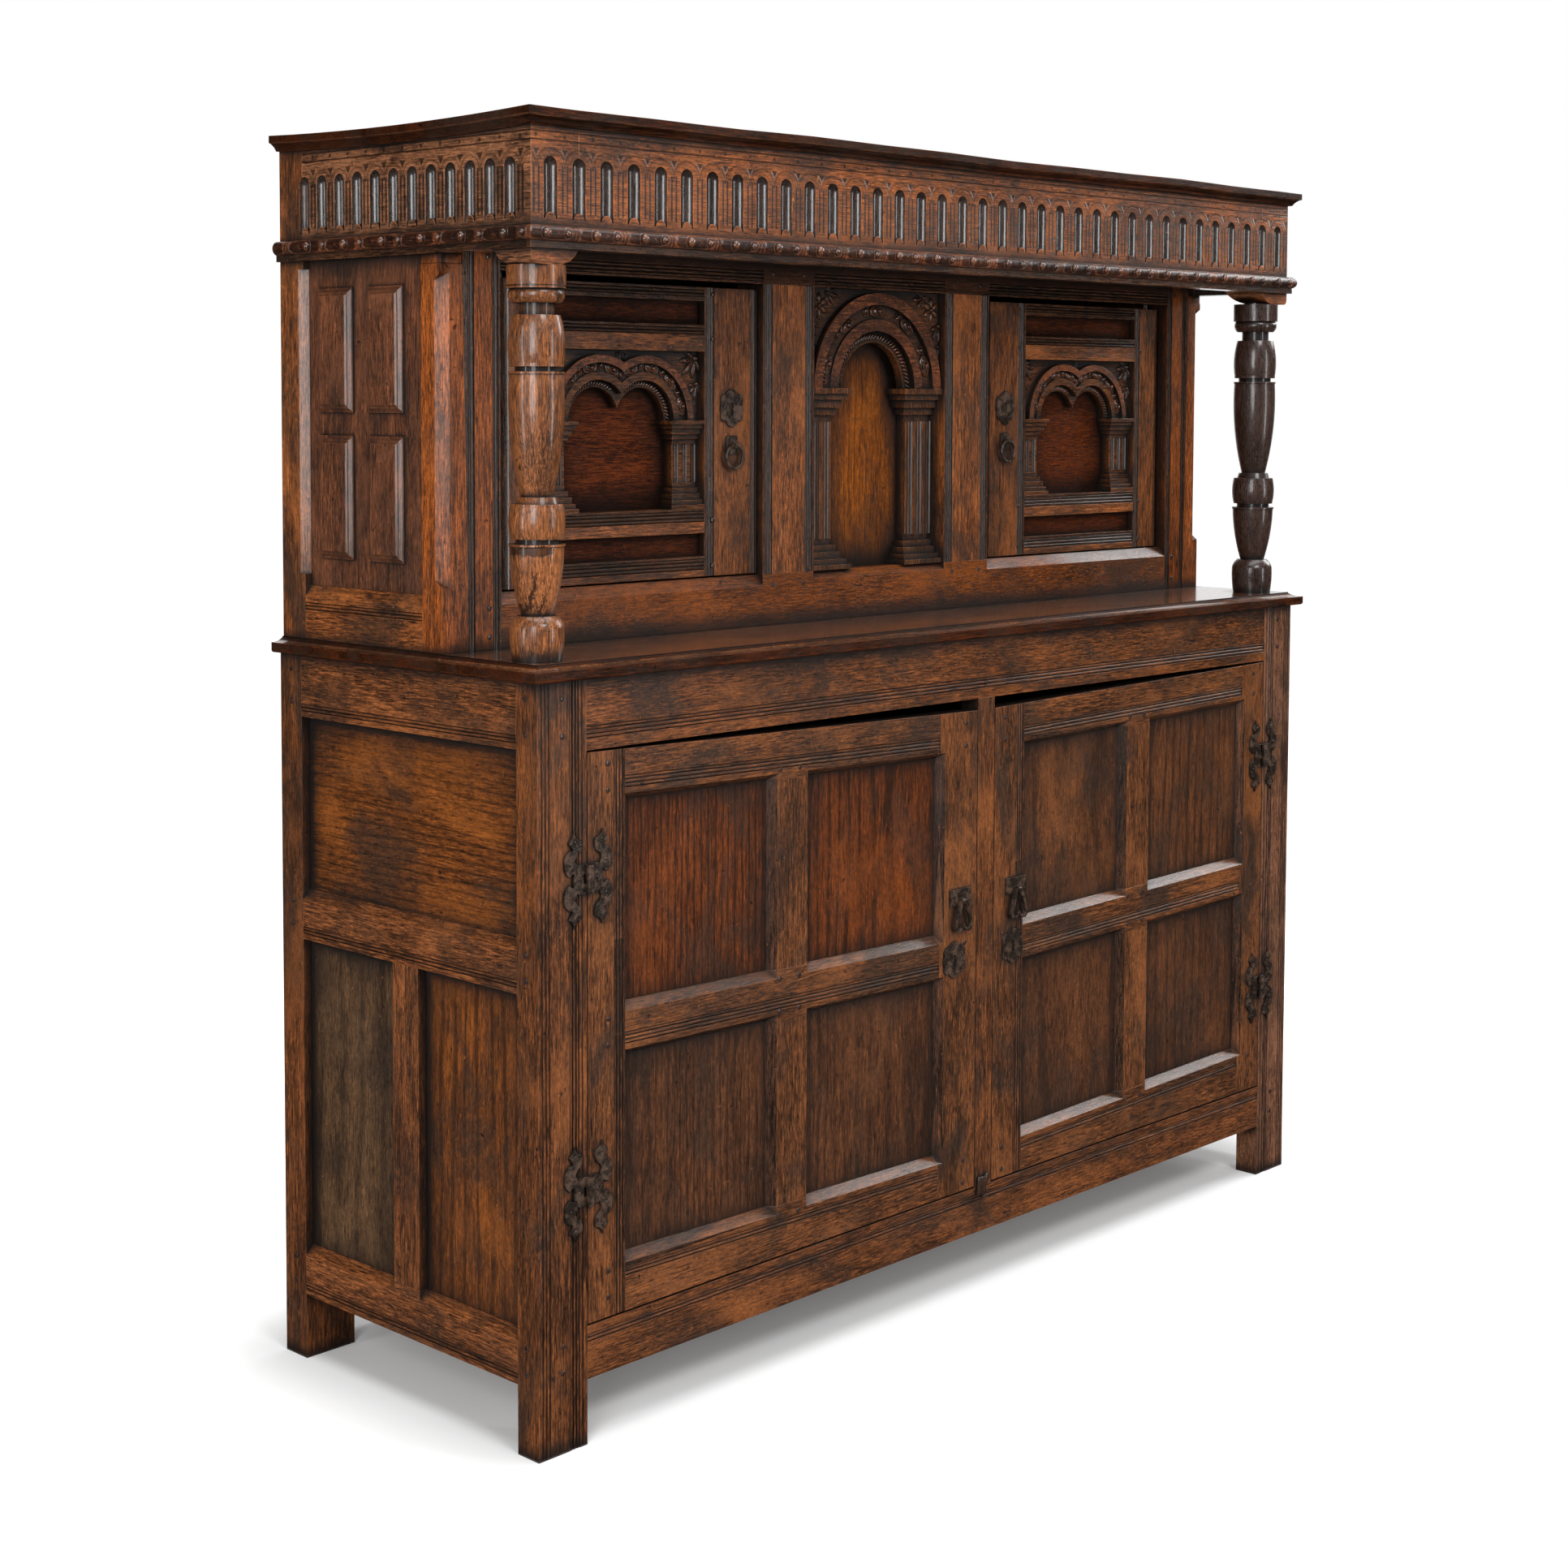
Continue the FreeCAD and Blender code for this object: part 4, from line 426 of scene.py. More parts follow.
@dataclass(frozen=True)
class OakFinish:
    """Old waxed oak: colours, figure, flecks, dirt with painted shade in hollows and corners, and polish."""

    name: str
    dark: Colour
    mid: Colour
    light: Colour
    worn: Colour
    figure: float = 0.5
    ring_scale: float = 44.0
    streaks: float = 0.075
    speckle: float = 0.22
    flecks: float = 0.2
    # darkening from ambient occlusion: partly dirt in hollows, partly painted shade in corners and recesses
    dirt_and_shade: float = 0.9
    dirt_and_shade_reach: float = 0.022
    wear: float = 0.5
    cloud: float = 0.6
    rough: float = 0.33
    coat: float = 0.28
    gloss: float = 0.35
    edge: float = 0.0016
    waviness: float = 0.6
    shut_in: float = 0.975
    deep_in: float = 0.68
    film: Colour = shade(46, 35, 28)
    scuffed: float = 0.55
    fibre_height: float = 0.10
    dent_depth: float = 0.12
    pore_depth: float = 0.05
    cut_depth: float = 0.5
    relief: float = 0.0028
    coat_rough: float = 0.12

    def figured(self, wood: Wood, fine: Socket) -> Socket:
        """Colour of the wood: streaks along the fibres, darkened by the rings.

        Args:
            wood: the material's nodes
            fine: the fine layer

        Returns:
            the colour's socket
        """
        streak = wood.times(fine, 0.30)
        for layer, share in ((BROAD, 0.22), (HAIR, 0.48)):
            streak = wood.plus(streak, wood.times(wood.layer(layer), share))
        tone = wood.add("ShaderNodeValToRGB", {0: streak})
        stops = tone.color_ramp.elements
        for stop, place, colour in ((0, 0.5 - self.streaks, self.dark), (1, 0.5 + self.streaks, self.light)):
            stops[stop].position = place
            stops[stop].color = (*colour, 1)
        stops.new(0.5).color = (*self.mid, 1)
        rings = wood.span(wood.rings(self.ring_scale), 0.68, 1.0)
        return wood.blend(wood.times(rings, self.figure * 0.8), tone.outputs[0], self.dark)

    def clouded(self, wood: Wood, colour: Socket) -> Socket:
        """Lays old film, glowing parts, speckle and silver flecks over the wood.

        Args:
            wood: the material's nodes
            colour: the colour so far

        Returns:
            the colour's socket
        """
        colour = wood.blend(wood.mask(CLOUDS, 0, self.cloud), colour, self.film)
        colour = wood.blend(wood.mask(GLOW, 0, self.cloud * 0.8), colour, self.light)
        speckle = wood.mask(MOTTLE, 1 - self.speckle, 1 + self.speckle)
        grey = wood.add("ShaderNodeCombineXYZ", dict.fromkeys(range(3), speckle)).outputs[0]
        colour = wood.blend(1.0, colour, grey, "MULTIPLY")
        flecks = wood.times(wood.mask(FLECKS), wood.mask(FLECKED_PARTS))
        return wood.blend(wood.times(flecks, self.flecks), colour, self.light)

    def material(self, grain: Grain, seed: int = 0, marks: Marks | None = None) -> bpy.types.Material:
        """Makes the finish for one direction of the grain.

        Args:
            grain: direction of the fibres
            seed: which board the wood comes from
            marks: a function from the graph to a socket of carved marks, 1 where they are deepest

        Returns:
            the material
        """
        name = f"{self.name}_{grain.name.lower()}_{seed}" + ("_" + marks.__name__ if marks else "")
        wood = Wood(name, grain, seed)
        fine = wood.layer(FINE)
        colour = self.clouded(wood, self.figured(wood, fine))
        pores = wood.mask(PORES, 0, 0.75)
        colour = wood.blend(pores, colour, darker(self.dark, 0.3))
        scuffs = wood.noise(wood.scaled(SCUFF_STRETCH, wood.shift[::-1]), 230, 2, 0.5, 1.2)
        colour = wood.blend(wood.times(wood.span(scuffs, 0.70, 0.76), self.scuffed), colour, self.worn)
        dents = wood.mask(DENTS)
        colour = wood.blend(wood.times(dents, 0.8), colour, darker(self.dark, 0.15))
        # Hollows, corners and the edges of sunk parts are darkened: partly dirt, partly painted shade.
        open_to_air = wood.add("ShaderNodeAmbientOcclusion", {"Distance": self.dirt_and_shade_reach}, samples=6).outputs["AO"]
        dirt_and_shade = wood.times(wood.span(open_to_air, self.deep_in, self.shut_in, 1, 0), self.dirt_and_shade)
        rounded = wood.rounded(self.edge)
        flat = wood.add("ShaderNodeNewGeometry").outputs["Normal"]
        facing = wood.add("ShaderNodeVectorMath", {0: rounded, 1: flat}, operation="DOT_PRODUCT").outputs[1]
        rubbed = wood.times(wood.span(facing, 0.90, 0.995, 1, 0), wood.span(open_to_air, 0.75, 1.0))
        rubbed = wood.times(rubbed, wood.mask(RUBBED_PARTS))
        colour = wood.blend(wood.times(rubbed, self.wear), colour, self.worn)
        # near-black in the hollows: dirt together with painted shade
        colour = wood.blend(dirt_and_shade, colour, darker(self.film, 0.14))
        height = wood.plus(wood.times(wood.layer(SWELL), self.waviness), wood.times(fine, self.fibre_height))
        for hollow, depth in ((dents, self.dent_depth), (pores, self.pore_depth)):
            height = wood.minus(height, wood.times(hollow, depth))
        # The carved marks are only a bump: their near-black colour paints the shade in the cuts, with dirt.
        if marks:
            cut = marks(wood)
            height = wood.minus(height, wood.times(cut, self.cut_depth))
            colour = wood.blend(wood.times(cut, 0.75), colour, darker(self.dark, 0.15))
        dull = wood.plus(wood.plus(wood.times(fine, 0.16), wood.times(dirt_and_shade, 0.25)), self.rough - 0.08)
        return wood.finished(wood.add("ShaderNodeBsdfPrincipled", {
            "Base Color": colour, "Roughness": dull, "Normal": wood.bumped(height, rounded, 1.0, self.relief),
            "Specular IOR Level": self.gloss, "Coat Weight": self.coat, "Coat Roughness": self.coat_rough,
        }))


# Sunk panels: the long reach of the darkening paints shade round their edges, as well as dirt.
SUNK_PANEL = dict(
    streaks=0.10, dirt_and_shade=0.97, dirt_and_shade_reach=0.075, shut_in=0.998, deep_in=0.82, wear=0.2, waviness=1.0)
FRAME_OAK = OakFinish(
    "frame_oak", shade(44, 24, 11), shade(110, 60, 27), shade(165, 95, 45), shade(176, 102, 48),
    flecks=0.35, figure=0.4, cloud=0.75)
UPPER_DOOR_OAK = OakFinish(
    "upper_door_oak", shade(37, 20, 9), shade(92, 50, 23), shade(138, 80, 39), shade(155, 88, 42),
    flecks=0.35, figure=0.4, cloud=0.75, gloss=0.28)
# The front stiles of the upper stage, painted lighter as if lit from the front left.
LIT_STILE_OAK = OakFinish(
    "lit_stile_oak", shade(46, 23, 8), shade(116, 58, 20), shade(174, 92, 34), shade(162, 86, 31),
    flecks=0.35, figure=0.4, rough=0.36, coat=0.08, gloss=0.25)
LOWER_FRAME_OAK = OakFinish(
    "lower_frame_oak", shade(35, 19, 8), shade(84, 45, 19), shade(134, 76, 34), shade(160, 91, 40),
    flecks=0.35, figure=0.4, cloud=0.75)
RIGHT_STILE_OAK = OakFinish(
    "right_stile_oak", shade(44, 28, 18), shade(95, 60, 40), shade(135, 90, 64), shade(176, 118, 83),
    flecks=0.35, figure=0.4)
SIDE_FRAME_OAK = OakFinish(
    "side_frame_oak", shade(41, 23, 11), shade(98, 54, 26), shade(152, 89, 45), shade(157, 92, 47),
    flecks=0.35, figure=0.4)
DOOR_OAK = OakFinish(
    "door_oak", shade(34, 19, 8), shade(82, 45, 20), shade(131, 76, 36), shade(156, 91, 43),
    flecks=0.3, figure=0.4, cloud=0.75, dirt_and_shade_reach=0.028)
PANEL_OAK = OakFinish(
    "panel_oak", shade(36, 16, 4), shade(86, 39, 9), shade(122, 59, 14), shade(159, 76, 19),
    figure=0.95, flecks=0.15, ring_scale=34, gloss=0.25, **SUNK_PANEL)
RIGHT_PANEL_OAK = OakFinish(
    "right_panel_oak", shade(37, 20, 9), shade(80, 44, 20), shade(114, 66, 32), shade(148, 86, 41),
    figure=0.8, flecks=0.15, ring_scale=34, **SUNK_PANEL)
LOWER_PANEL_OAK = OakFinish(
    "lower_panel_oak", shade(35, 19, 9), shade(76, 42, 20), shade(108, 63, 32), shade(141, 82, 41),
    figure=0.7, flecks=0.15, ring_scale=34, cloud=0.55, **SUNK_PANEL)
SIDE_PANEL_OAK = OakFinish(
    "side_panel_oak", shade(46, 24, 7), shade(100, 52, 16), shade(142, 78, 25), shade(185, 102, 33),
    figure=0.9, flecks=0.15, ring_scale=30, cloud=0.7, **SUNK_PANEL)
OLIVE_OAK = OakFinish(
    "olive_oak", shade(39, 27, 17), shade(84, 58, 36), shade(119, 87, 57), shade(155, 114, 75),
    figure=0.6, flecks=0.1, ring_scale=30, **SUNK_PANEL)
RED_OAK = OakFinish(
    "red_oak", shade(44, 22, 7), shade(96, 48, 15), shade(136, 72, 24), shade(163, 86, 29),
    figure=0.3, flecks=0.9, cloud=0.7, dirt_and_shade_reach=0.03, wear=0.6, gloss=0.28)
SIDE_BLOCK_OAK = OakFinish(
    "side_block_oak", shade(41, 23, 14), shade(90, 51, 31), shade(128, 77, 49), shade(153, 92, 59),
    figure=0.35, flecks=0.35, dirt_and_shade_reach=0.03, wear=0.6)
ARCH_BACK_OAK = OakFinish(
    "arch_back_oak", shade(34, 14, 4), shade(74, 31, 9), shade(105, 47, 14), shade(137, 61, 19),
    figure=0.3, flecks=0.5, cloud=0.2, dirt_and_shade_reach=0.05, wear=0.3, rough=0.38, coat=0.0, gloss=0.08)
# The frieze's bright worn colour and strong wear on its edges are partly real wear, partly painted highlights.
FRIEZE_OAK = OakFinish(
    "frieze_oak", shade(41, 22, 10), shade(108, 58, 26), shade(162, 92, 44), shade(227, 129, 61),
    figure=0.3, flecks=0.35, dirt_and_shade_reach=0.016, wear=0.9, rough=0.30, coat=0.35)
SIDE_FRIEZE_OAK = OakFinish(
    "side_frieze_oak", shade(40, 25, 16), shade(106, 66, 42), shade(159, 105, 71), shade(223, 147, 99),
    figure=0.3, flecks=0.35, dirt_and_shade_reach=0.016, wear=0.9, rough=0.30, coat=0.35)
# The middle board's strong speckle is partly its own mottle, partly a painted speckled sheen.
BOARD_OAK = OakFinish(
    "board_oak", shade(34, 20, 12), shade(86, 51, 29), shade(138, 86, 52), shade(172, 108, 65),
    figure=0.35, flecks=0.3, speckle=0.6, streaks=0.06, scuffed=1.0, wear=0.8, rough=0.22, coat=0.9)
TOP_OAK = OakFinish(
    "top_oak", shade(30, 18, 11), shade(76, 46, 28), shade(112, 72, 44), shade(140, 90, 56),
    figure=0.4, flecks=0.15, wear=0.8, rough=0.52, coat=0.0)
EDGE_OAK = OakFinish(
    "edge_oak", shade(18, 8, 2), shade(40, 17, 5), shade(72, 32, 10), shade(120, 54, 17),
    figure=0.3, flecks=0.1, wear=0.95, rough=0.38, coat=0.0, gloss=0.10)
CARVED_OAK = OakFinish(
    "carved_oak", shade(23, 13, 6), shade(76, 42, 20), shade(114, 67, 34), shade(160, 93, 47),
    figure=0.15, flecks=0.15, rough=0.28, coat=0.35, dirt_and_shade=0.97, dirt_and_shade_reach=0.016, deep_in=0.70, wear=0.9,
    edge=0.0013)
JEWEL_OAK = OakFinish(
    "jewel_oak", shade(30, 17, 10), shade(84, 47, 28), shade(126, 75, 47), shade(185, 110, 69),
    figure=0.1, flecks=0.0, rough=0.20, coat=0.8, dirt_and_shade=0.95, dirt_and_shade_reach=0.007, wear=0.9, edge=0.0009)
BAND_OAK = OakFinish(
    "band_oak", shade(37, 19, 10), shade(88, 46, 24), shade(132, 73, 40), shade(167, 93, 51),
    figure=0.1, speckle=0.5, dirt_and_shade=0.95, dirt_and_shade_reach=0.012, wear=0.6, rough=0.32, coat=0.2, edge=0.0011)
# Its long reach paints the shade of the arch and canopy over the top of the centre panel.
GOLDEN_OAK = OakFinish(
    "golden_oak", shade(50, 24, 3), shade(114, 57, 7), shade(162, 88, 12), shade(200, 110, 18),
    streaks=0.10, dirt_and_shade=0.97, dirt_and_shade_reach=0.085, deep_in=0.74, wear=0.2, cloud=0.5, coat=0.15, gloss=0.2)
TURNED_OAK = OakFinish(
    "turned_oak", shade(56, 32, 16), shade(112, 64, 32), shade(159, 96, 51), shade(179, 109, 57),
    figure=0.3, cloud=0.3, rough=0.30, coat=0.35, dirt_and_shade=0.95, dirt_and_shade_reach=0.02, edge=0.0011)
DARK_TURNED_OAK = OakFinish(
    "dark_turned_oak", shade(23, 15, 12), shade(50, 33, 27), shade(71, 50, 43), shade(120, 84, 73),
    figure=0.2, flecks=0.25, rough=0.24, coat=0.4, dirt_and_shade=0.95, dirt_and_shade_reach=0.012, wear=0.8, edge=0.0011)
# Flute hollows, painted dark as shade in the hollows and grey as a painted sheen.
FLUTE_SHADE_OAK = OakFinish(
    "flute_shade_oak", shade(24, 18, 16), shade(48, 36, 31), shade(68, 54, 49), shade(115, 92, 83),
    figure=0.1, flecks=0.1, dirt_and_shade=0.7, dirt_and_shade_reach=0.008, wear=0.6, rough=0.24, coat=0.7, edge=0.0011)
MOULDED_OAK = OakFinish(
    "moulded_oak", shade(18, 10, 6), shade(50, 29, 17), shade(85, 52, 32), shade(150, 92, 57),
    figure=0.1, flecks=0.1, rough=0.26, coat=0.3, dirt_and_shade=0.95, dirt_and_shade_reach=0.012, wear=0.95, edge=0.0011)
# Members under the canopy, painted darker as the canopy's shade.
CANOPY_SHADE_OAK = OakFinish(
    "canopy_shade_oak", shade(27, 15, 9), shade(58, 32, 19), shade(82, 48, 30), shade(122, 71, 45),
    figure=0.3, flecks=0.15, wear=0.7, coat=0.1, gloss=0.15)
INNER_OAK = OakFinish(
    "inner_oak", shade(45, 32, 22), shade(98, 70, 48), shade(139, 105, 76), shade(181, 137, 99),
    figure=0.4, flecks=0.1, dirt_and_shade_reach=0.05, wear=0.2, rough=0.62, coat=0.0)


@dataclass(frozen=True)
class IronFinish:
    """Forged iron, blackened and waxed."""

    name: str = "forged_iron"
    dark: Colour = shade(38, 29, 23)
    light: Colour = shade(84, 63, 49)
    rough: float = 0.36

    def material(self) -> bpy.types.Material:
        """Makes the finish.

        Returns:
            the material
        """
        graph = Graph(self.name)
        blotches = graph.noise(graph.place, 90, 4, 0.6, 0.4)
        hammered = graph.noise(graph.place, 220, 2, 0.5)
        colour = graph.blend(graph.span(blotches, 0.42, 0.66), self.dark, self.light)
        height = graph.plus(graph.times(blotches, 0.6), graph.times(hammered, 0.7))
        dull = graph.span(blotches, 0.35, 0.7, self.rough - 0.10, self.rough + 0.18)
        normal = graph.bumped(height, graph.rounded(0.0009), 0.9, 0.0012)
        return graph.finished(graph.add("ShaderNodeBsdfPrincipled", {
            "Base Color": colour, "Roughness": dull, "Normal": normal, "Metallic": 0.3, "Specular IOR Level": 0.5,
        }))


class Workshop:
    """Keeps each finish's materials, so that members cut from one board share one, and dresses the frame in them."""

    def __init__(self) -> None:
        """Starts with no oak made."""
        self.made: dict[tuple, bpy.types.Material] = {}
        self.iron = IronFinish().material()

    def oak(self, finish: OakFinish, grain: Grain, seed: int = 0, marks: Marks | None = None) -> bpy.types.Material:
        """The material of a finish, made the first time it is asked for.

        Args:
            finish: the finish
            grain: direction of the fibres
            seed: which board
            marks: carved marks in it

        Returns:
            the material
        """
        key = (finish.name, grain, seed, marks)
        if key not in self.made:
            self.made[key] = finish.material(grain, seed, marks)
        return self.made[key]

    def dress(self, node: str, *materials: bpy.types.Material, choose: Chooser | None = None) -> None:
        """Gives a node of the frame its materials.

        Args:
            node: the node's name
            materials: its materials
            choose: a function from a face's middle, normal and size, in millimetres, to a material's number
        """
        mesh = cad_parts[node].data
        mesh.materials.clear()
        for material in materials:
            mesh.materials.append(material)
        for face in mesh.polygons:
            if not choose:
                face.material_index = 0
                continue
            corners = [mesh.vertices[v].co for v in face.vertices]
            size = Vector([max(c[i] for c in corners) - min(c[i] for c in corners) for i in range(3)])
            face.material_index = choose(face.center * 1000, face.normal, size * 1000)

    def dress_plainly(self, *rows: tuple[str, OakFinish, Grain, int]) -> None:
        """Gives nodes of one finish their oak.

        Args:
            rows: name, finish, grain and seed of each node
        """
        for node, finish, grain, seed in rows:
            self.dress(node, self.oak(finish, grain, seed))

    def dress_planks(self, node: str, finish: OakFinish, grain: Grain, seed: int, axis: int,
                     splits: tuple[float, ...], edge: bpy.types.Material | None = None) -> None:
        """Gives a boarded node its finish, with the wood of each plank cut from another board than its neighbour.

        Args:
            node: the node's name
            finish: the finish
            grain: direction of the fibres
            seed: which board the first plank comes from
            axis: the axis that the planks lie side by side on
            splits: places of the joints between planks, in millimetres
            edge: the material of the moulded edge
        """
        materials = [self.oak(finish, grain, seed), self.oak(finish, grain, seed + 20)] + ([edge] if edge else [])

        def choose(middle: Vector, normal: Vector, size: Vector) -> int:
            """Finds the plank that a face is on.

            Args:
                middle: the face's middle in millimetres
                normal: its normal
                size: its extent along each axis, in millimetres

            Returns:
                0 or 1 for the planks in turn, 2 for the edge
            """
            if edge and abs(normal.z) < 0.9:
                return 2
            return sum(middle[axis] > split for split in splits) % 2

        self.dress(node, *materials, choose=choose)


@dataclass(frozen=True)
class FriezeCuts:
    """Heights and sizes of the cuts between two flutes of the frieze, in millimetres."""

    upright_aside: float = 3.7
    upright_half: float = 2.1
    upright_reach: Span = (1466, 1521)
    spring: float = 1519
    arc_share: float = 0.475
    arc_half: float = 1.2
    arc_depth: float = 0.5
    line_levels: Span = (1549, 1559)
    line_half: float = 1.1
    dot_level: float = 1554
    dot_square: float = 5.5
    star_square: float = 3.0
    chip_foot: float = 1528
    chip_flare: float = 0.6
    chip_reach: Span = (1527, 1539)
    chip_slope: float = 2.5

    def line(self, graph: Graph, value: Socket, centre: float, half: float) -> Socket:
        """A thin line where a value is near a centre.

        Args:
            graph: the material's graph
            value: the value
            centre: the centre
            half: half of the line's width

        Returns:
            the socket of the line
        """
        return graph.near(value, centre, half * 0.5, half)

    def cut(self, graph: Graph, along: Socket, pitch: float, start: float) -> Socket:
        """Marks that repeat along the frieze.

        Args:
            graph: the material's graph
            along: the place along the frieze, in metres
            pitch: distance between flutes, in millimetres
            start: place of one middle between two flutes, in millimetres

        Returns:
            the socket of the marks
        """
        off = graph.unsigned(graph.repeated(along, start, pitch))
        up = graph.times(graph.parts()[2], 1000)
        total = graph.times(
            self.line(graph, off, self.upright_aside, self.upright_half), graph.within(up, *self.upright_reach))
        rise = graph.minus(up, self.spring)
        radius = graph.math("SQRT", graph.squares(graph.minus(pitch / 2, off), rise))
        arc = graph.times(self.line(graph, radius, pitch * self.arc_share, self.arc_half),
                          graph.math("GREATER_THAN", up, self.spring))
        marks = [graph.times(arc, self.arc_depth)]
        marks += [self.line(graph, up, level, self.line_half) for level in self.line_levels]
        dot = graph.squares(off, graph.minus(up, self.dot_level))
        marks.append(graph.math("LESS_THAN", dot, self.dot_square))
        chip = graph.minus(graph.times(graph.minus(up, self.chip_foot), self.chip_flare), off)
        marks.append(graph.times(graph.span(chip, 0, self.chip_slope), graph.within(up, *self.chip_reach)))
        marks.append(graph.math("LESS_THAN", graph.squares(off, rise), self.star_square))
        for mark in marks:
            total = graph.most(total, mark)
        return total


def front_frieze_marks(graph: Graph) -> Socket:
    """Lines, chips, arcs and dots cut into the front of the frieze."""
    return FriezeCuts().cut(graph, graph.parts()[0], 43.75, 0.0)


def side_frieze_marks(graph: Graph) -> Socket:
    """Lines, chips, arcs and dots cut into the sides of the frieze."""
    return FriezeCuts().cut(graph, graph.parts()[1], 36.6, -177.2)


@dataclass(frozen=True)
class BeadCuts:
    """Sizes of the sunk cartouches along the bead, in millimetres."""

    pitch: float = 76.8
    level: float = 1442.0
    half_length: float = 31.0
    half_height: float = 7.4
    squareness: float = 4.0
    cross_aside: float = 10.5
    cross_half: float = 3.4
    cross_depth: float = 0.7
    bar_aside: float = 2.6

    def cut(self, graph: Graph, along: Socket, start: float) -> Socket:
        """Long sunk cartouches, a stamped cross in each, and two bars between them.

        Args:
            graph: the material's graph
            along: the place along the bead, in metres
            start: place of the middle of one cartouche, in millimetres

        Returns:
            the socket of the marks
        """
        off = graph.repeated(along, start, self.pitch)
        beside = graph.unsigned(off)
        rise = graph.unsigned(graph.minus(graph.times(graph.parts()[2], 1000), self.level))
        long = graph.math("POWER", graph.over(beside, self.half_length), self.squareness)
        tall = graph.math("POWER", graph.over(rise, self.half_height), self.squareness)
        inside = graph.span(graph.plus(long, tall), 0.75, 1.15, 1, 0)
        aside = graph.unsigned(graph.minus(off, self.cross_aside))
        cross = graph.near(aside, rise, 0.3, 0.9)
        for reach in (rise, aside):
            cross = graph.times(cross, graph.math("LESS_THAN", reach, self.cross_half))
        bars = graph.near(graph.minus(self.pitch / 2, beside), self.bar_aside, 0.5, 1.1)
        sunk = graph.math("SUBTRACT", inside, graph.times(cross, self.cross_depth), clamp=True)
        return graph.most(sunk, bars)


def front_bead_marks(graph: Graph) -> Socket:
    """Sunk cartouches along the front bead."""
    return BeadCuts().cut(graph, graph.parts()[0], -697.5)


def side_bead_marks(graph: Graph) -> Socket:
    """Sunk cartouches along the side beads."""
    return BeadCuts().cut(graph, graph.parts()[1], -190.0)


STILE_LINES = (793.5, 788.0, 782.5, 746.0, 740.5, 731.0)
BALUSTER_SPLITS = (
    (-0.750, 1.379, 0.008, 0.016), (-0.779, 1.020, 0.0016, 0.030), (-0.768, 1.004, 0.0012, 0.022))


def stile_marks(graph: Graph) -> Socket:
    """Scratched lines along both edges of a corner stile.

    Args:
        graph: the material's graph

    Returns:
        the socket of the marks
    """
    aside = graph.times(graph.unsigned(graph.parts()[0]), 1000)
    drift = graph.noise(graph.scaled((8, 8, 5)), 1, 2)
    aside = graph.plus(aside, graph.times(graph.minus(drift, 0.5), 3.0))
    total = 0.0
    for place in STILE_LINES:
        total = graph.most(graph.near(aside, place, 0.5, 1.5), total)
    return total


def baluster_marks(graph: Graph) -> Socket:
    """A broken hole in the lower bulb, a chipped cap and splits at the foot of the left baluster.

    Args:
        graph: the material's graph

    Returns:
        the socket of the marks
    """
    across, _, up = graph.parts()
    rough = graph.times(graph.minus(graph.noise(graph.place, 160, 3, 0.6), 0.5), 0.010)

    def patch(x: float, z: float, wide: float, tall: float) -> Socket:
        """A ragged oval, in metres.

        Args:
            x: place of its middle across
            z: height of its middle
            wide: half its width
            tall: half its height

        Returns:
            the socket of the oval, 1 inside it
        """
        aside = graph.over(graph.plus(graph.minus(across, x), rough), wide)
        above = graph.over(graph.plus(graph.minus(up, z), rough), tall)
        return graph.span(graph.squares(aside, above), 0.6, 1.1, 1, 0)

    total = patch(-0.778, 1.0735, 0.019, 0.0065)
    for split in BALUSTER_SPLITS:
        total = graph.most(total, patch(*split))
    return graph.most(total, graph.near(up, 1.383, 0.0004, 0.0012))


def moulded(normal: Vector, size: Vector, least: float = 9.0) -> bool:
    """Whether a face belongs to a narrow moulding.

    Args:
        normal: the face's normal
        size: its extent along each axis, in millimetres
        least: a front face narrower than this is part of a moulding

    Returns:
        true where it does
    """
    return abs(normal.y) > 0.2 and min(size.x, size.z) < least and max(size) > 40


def plain_or_moulded(middle: Vector, normal: Vector, size: Vector) -> int:
    """0 for a plain face, 1 for one of a moulding."""
    return int(moulded(normal, size))


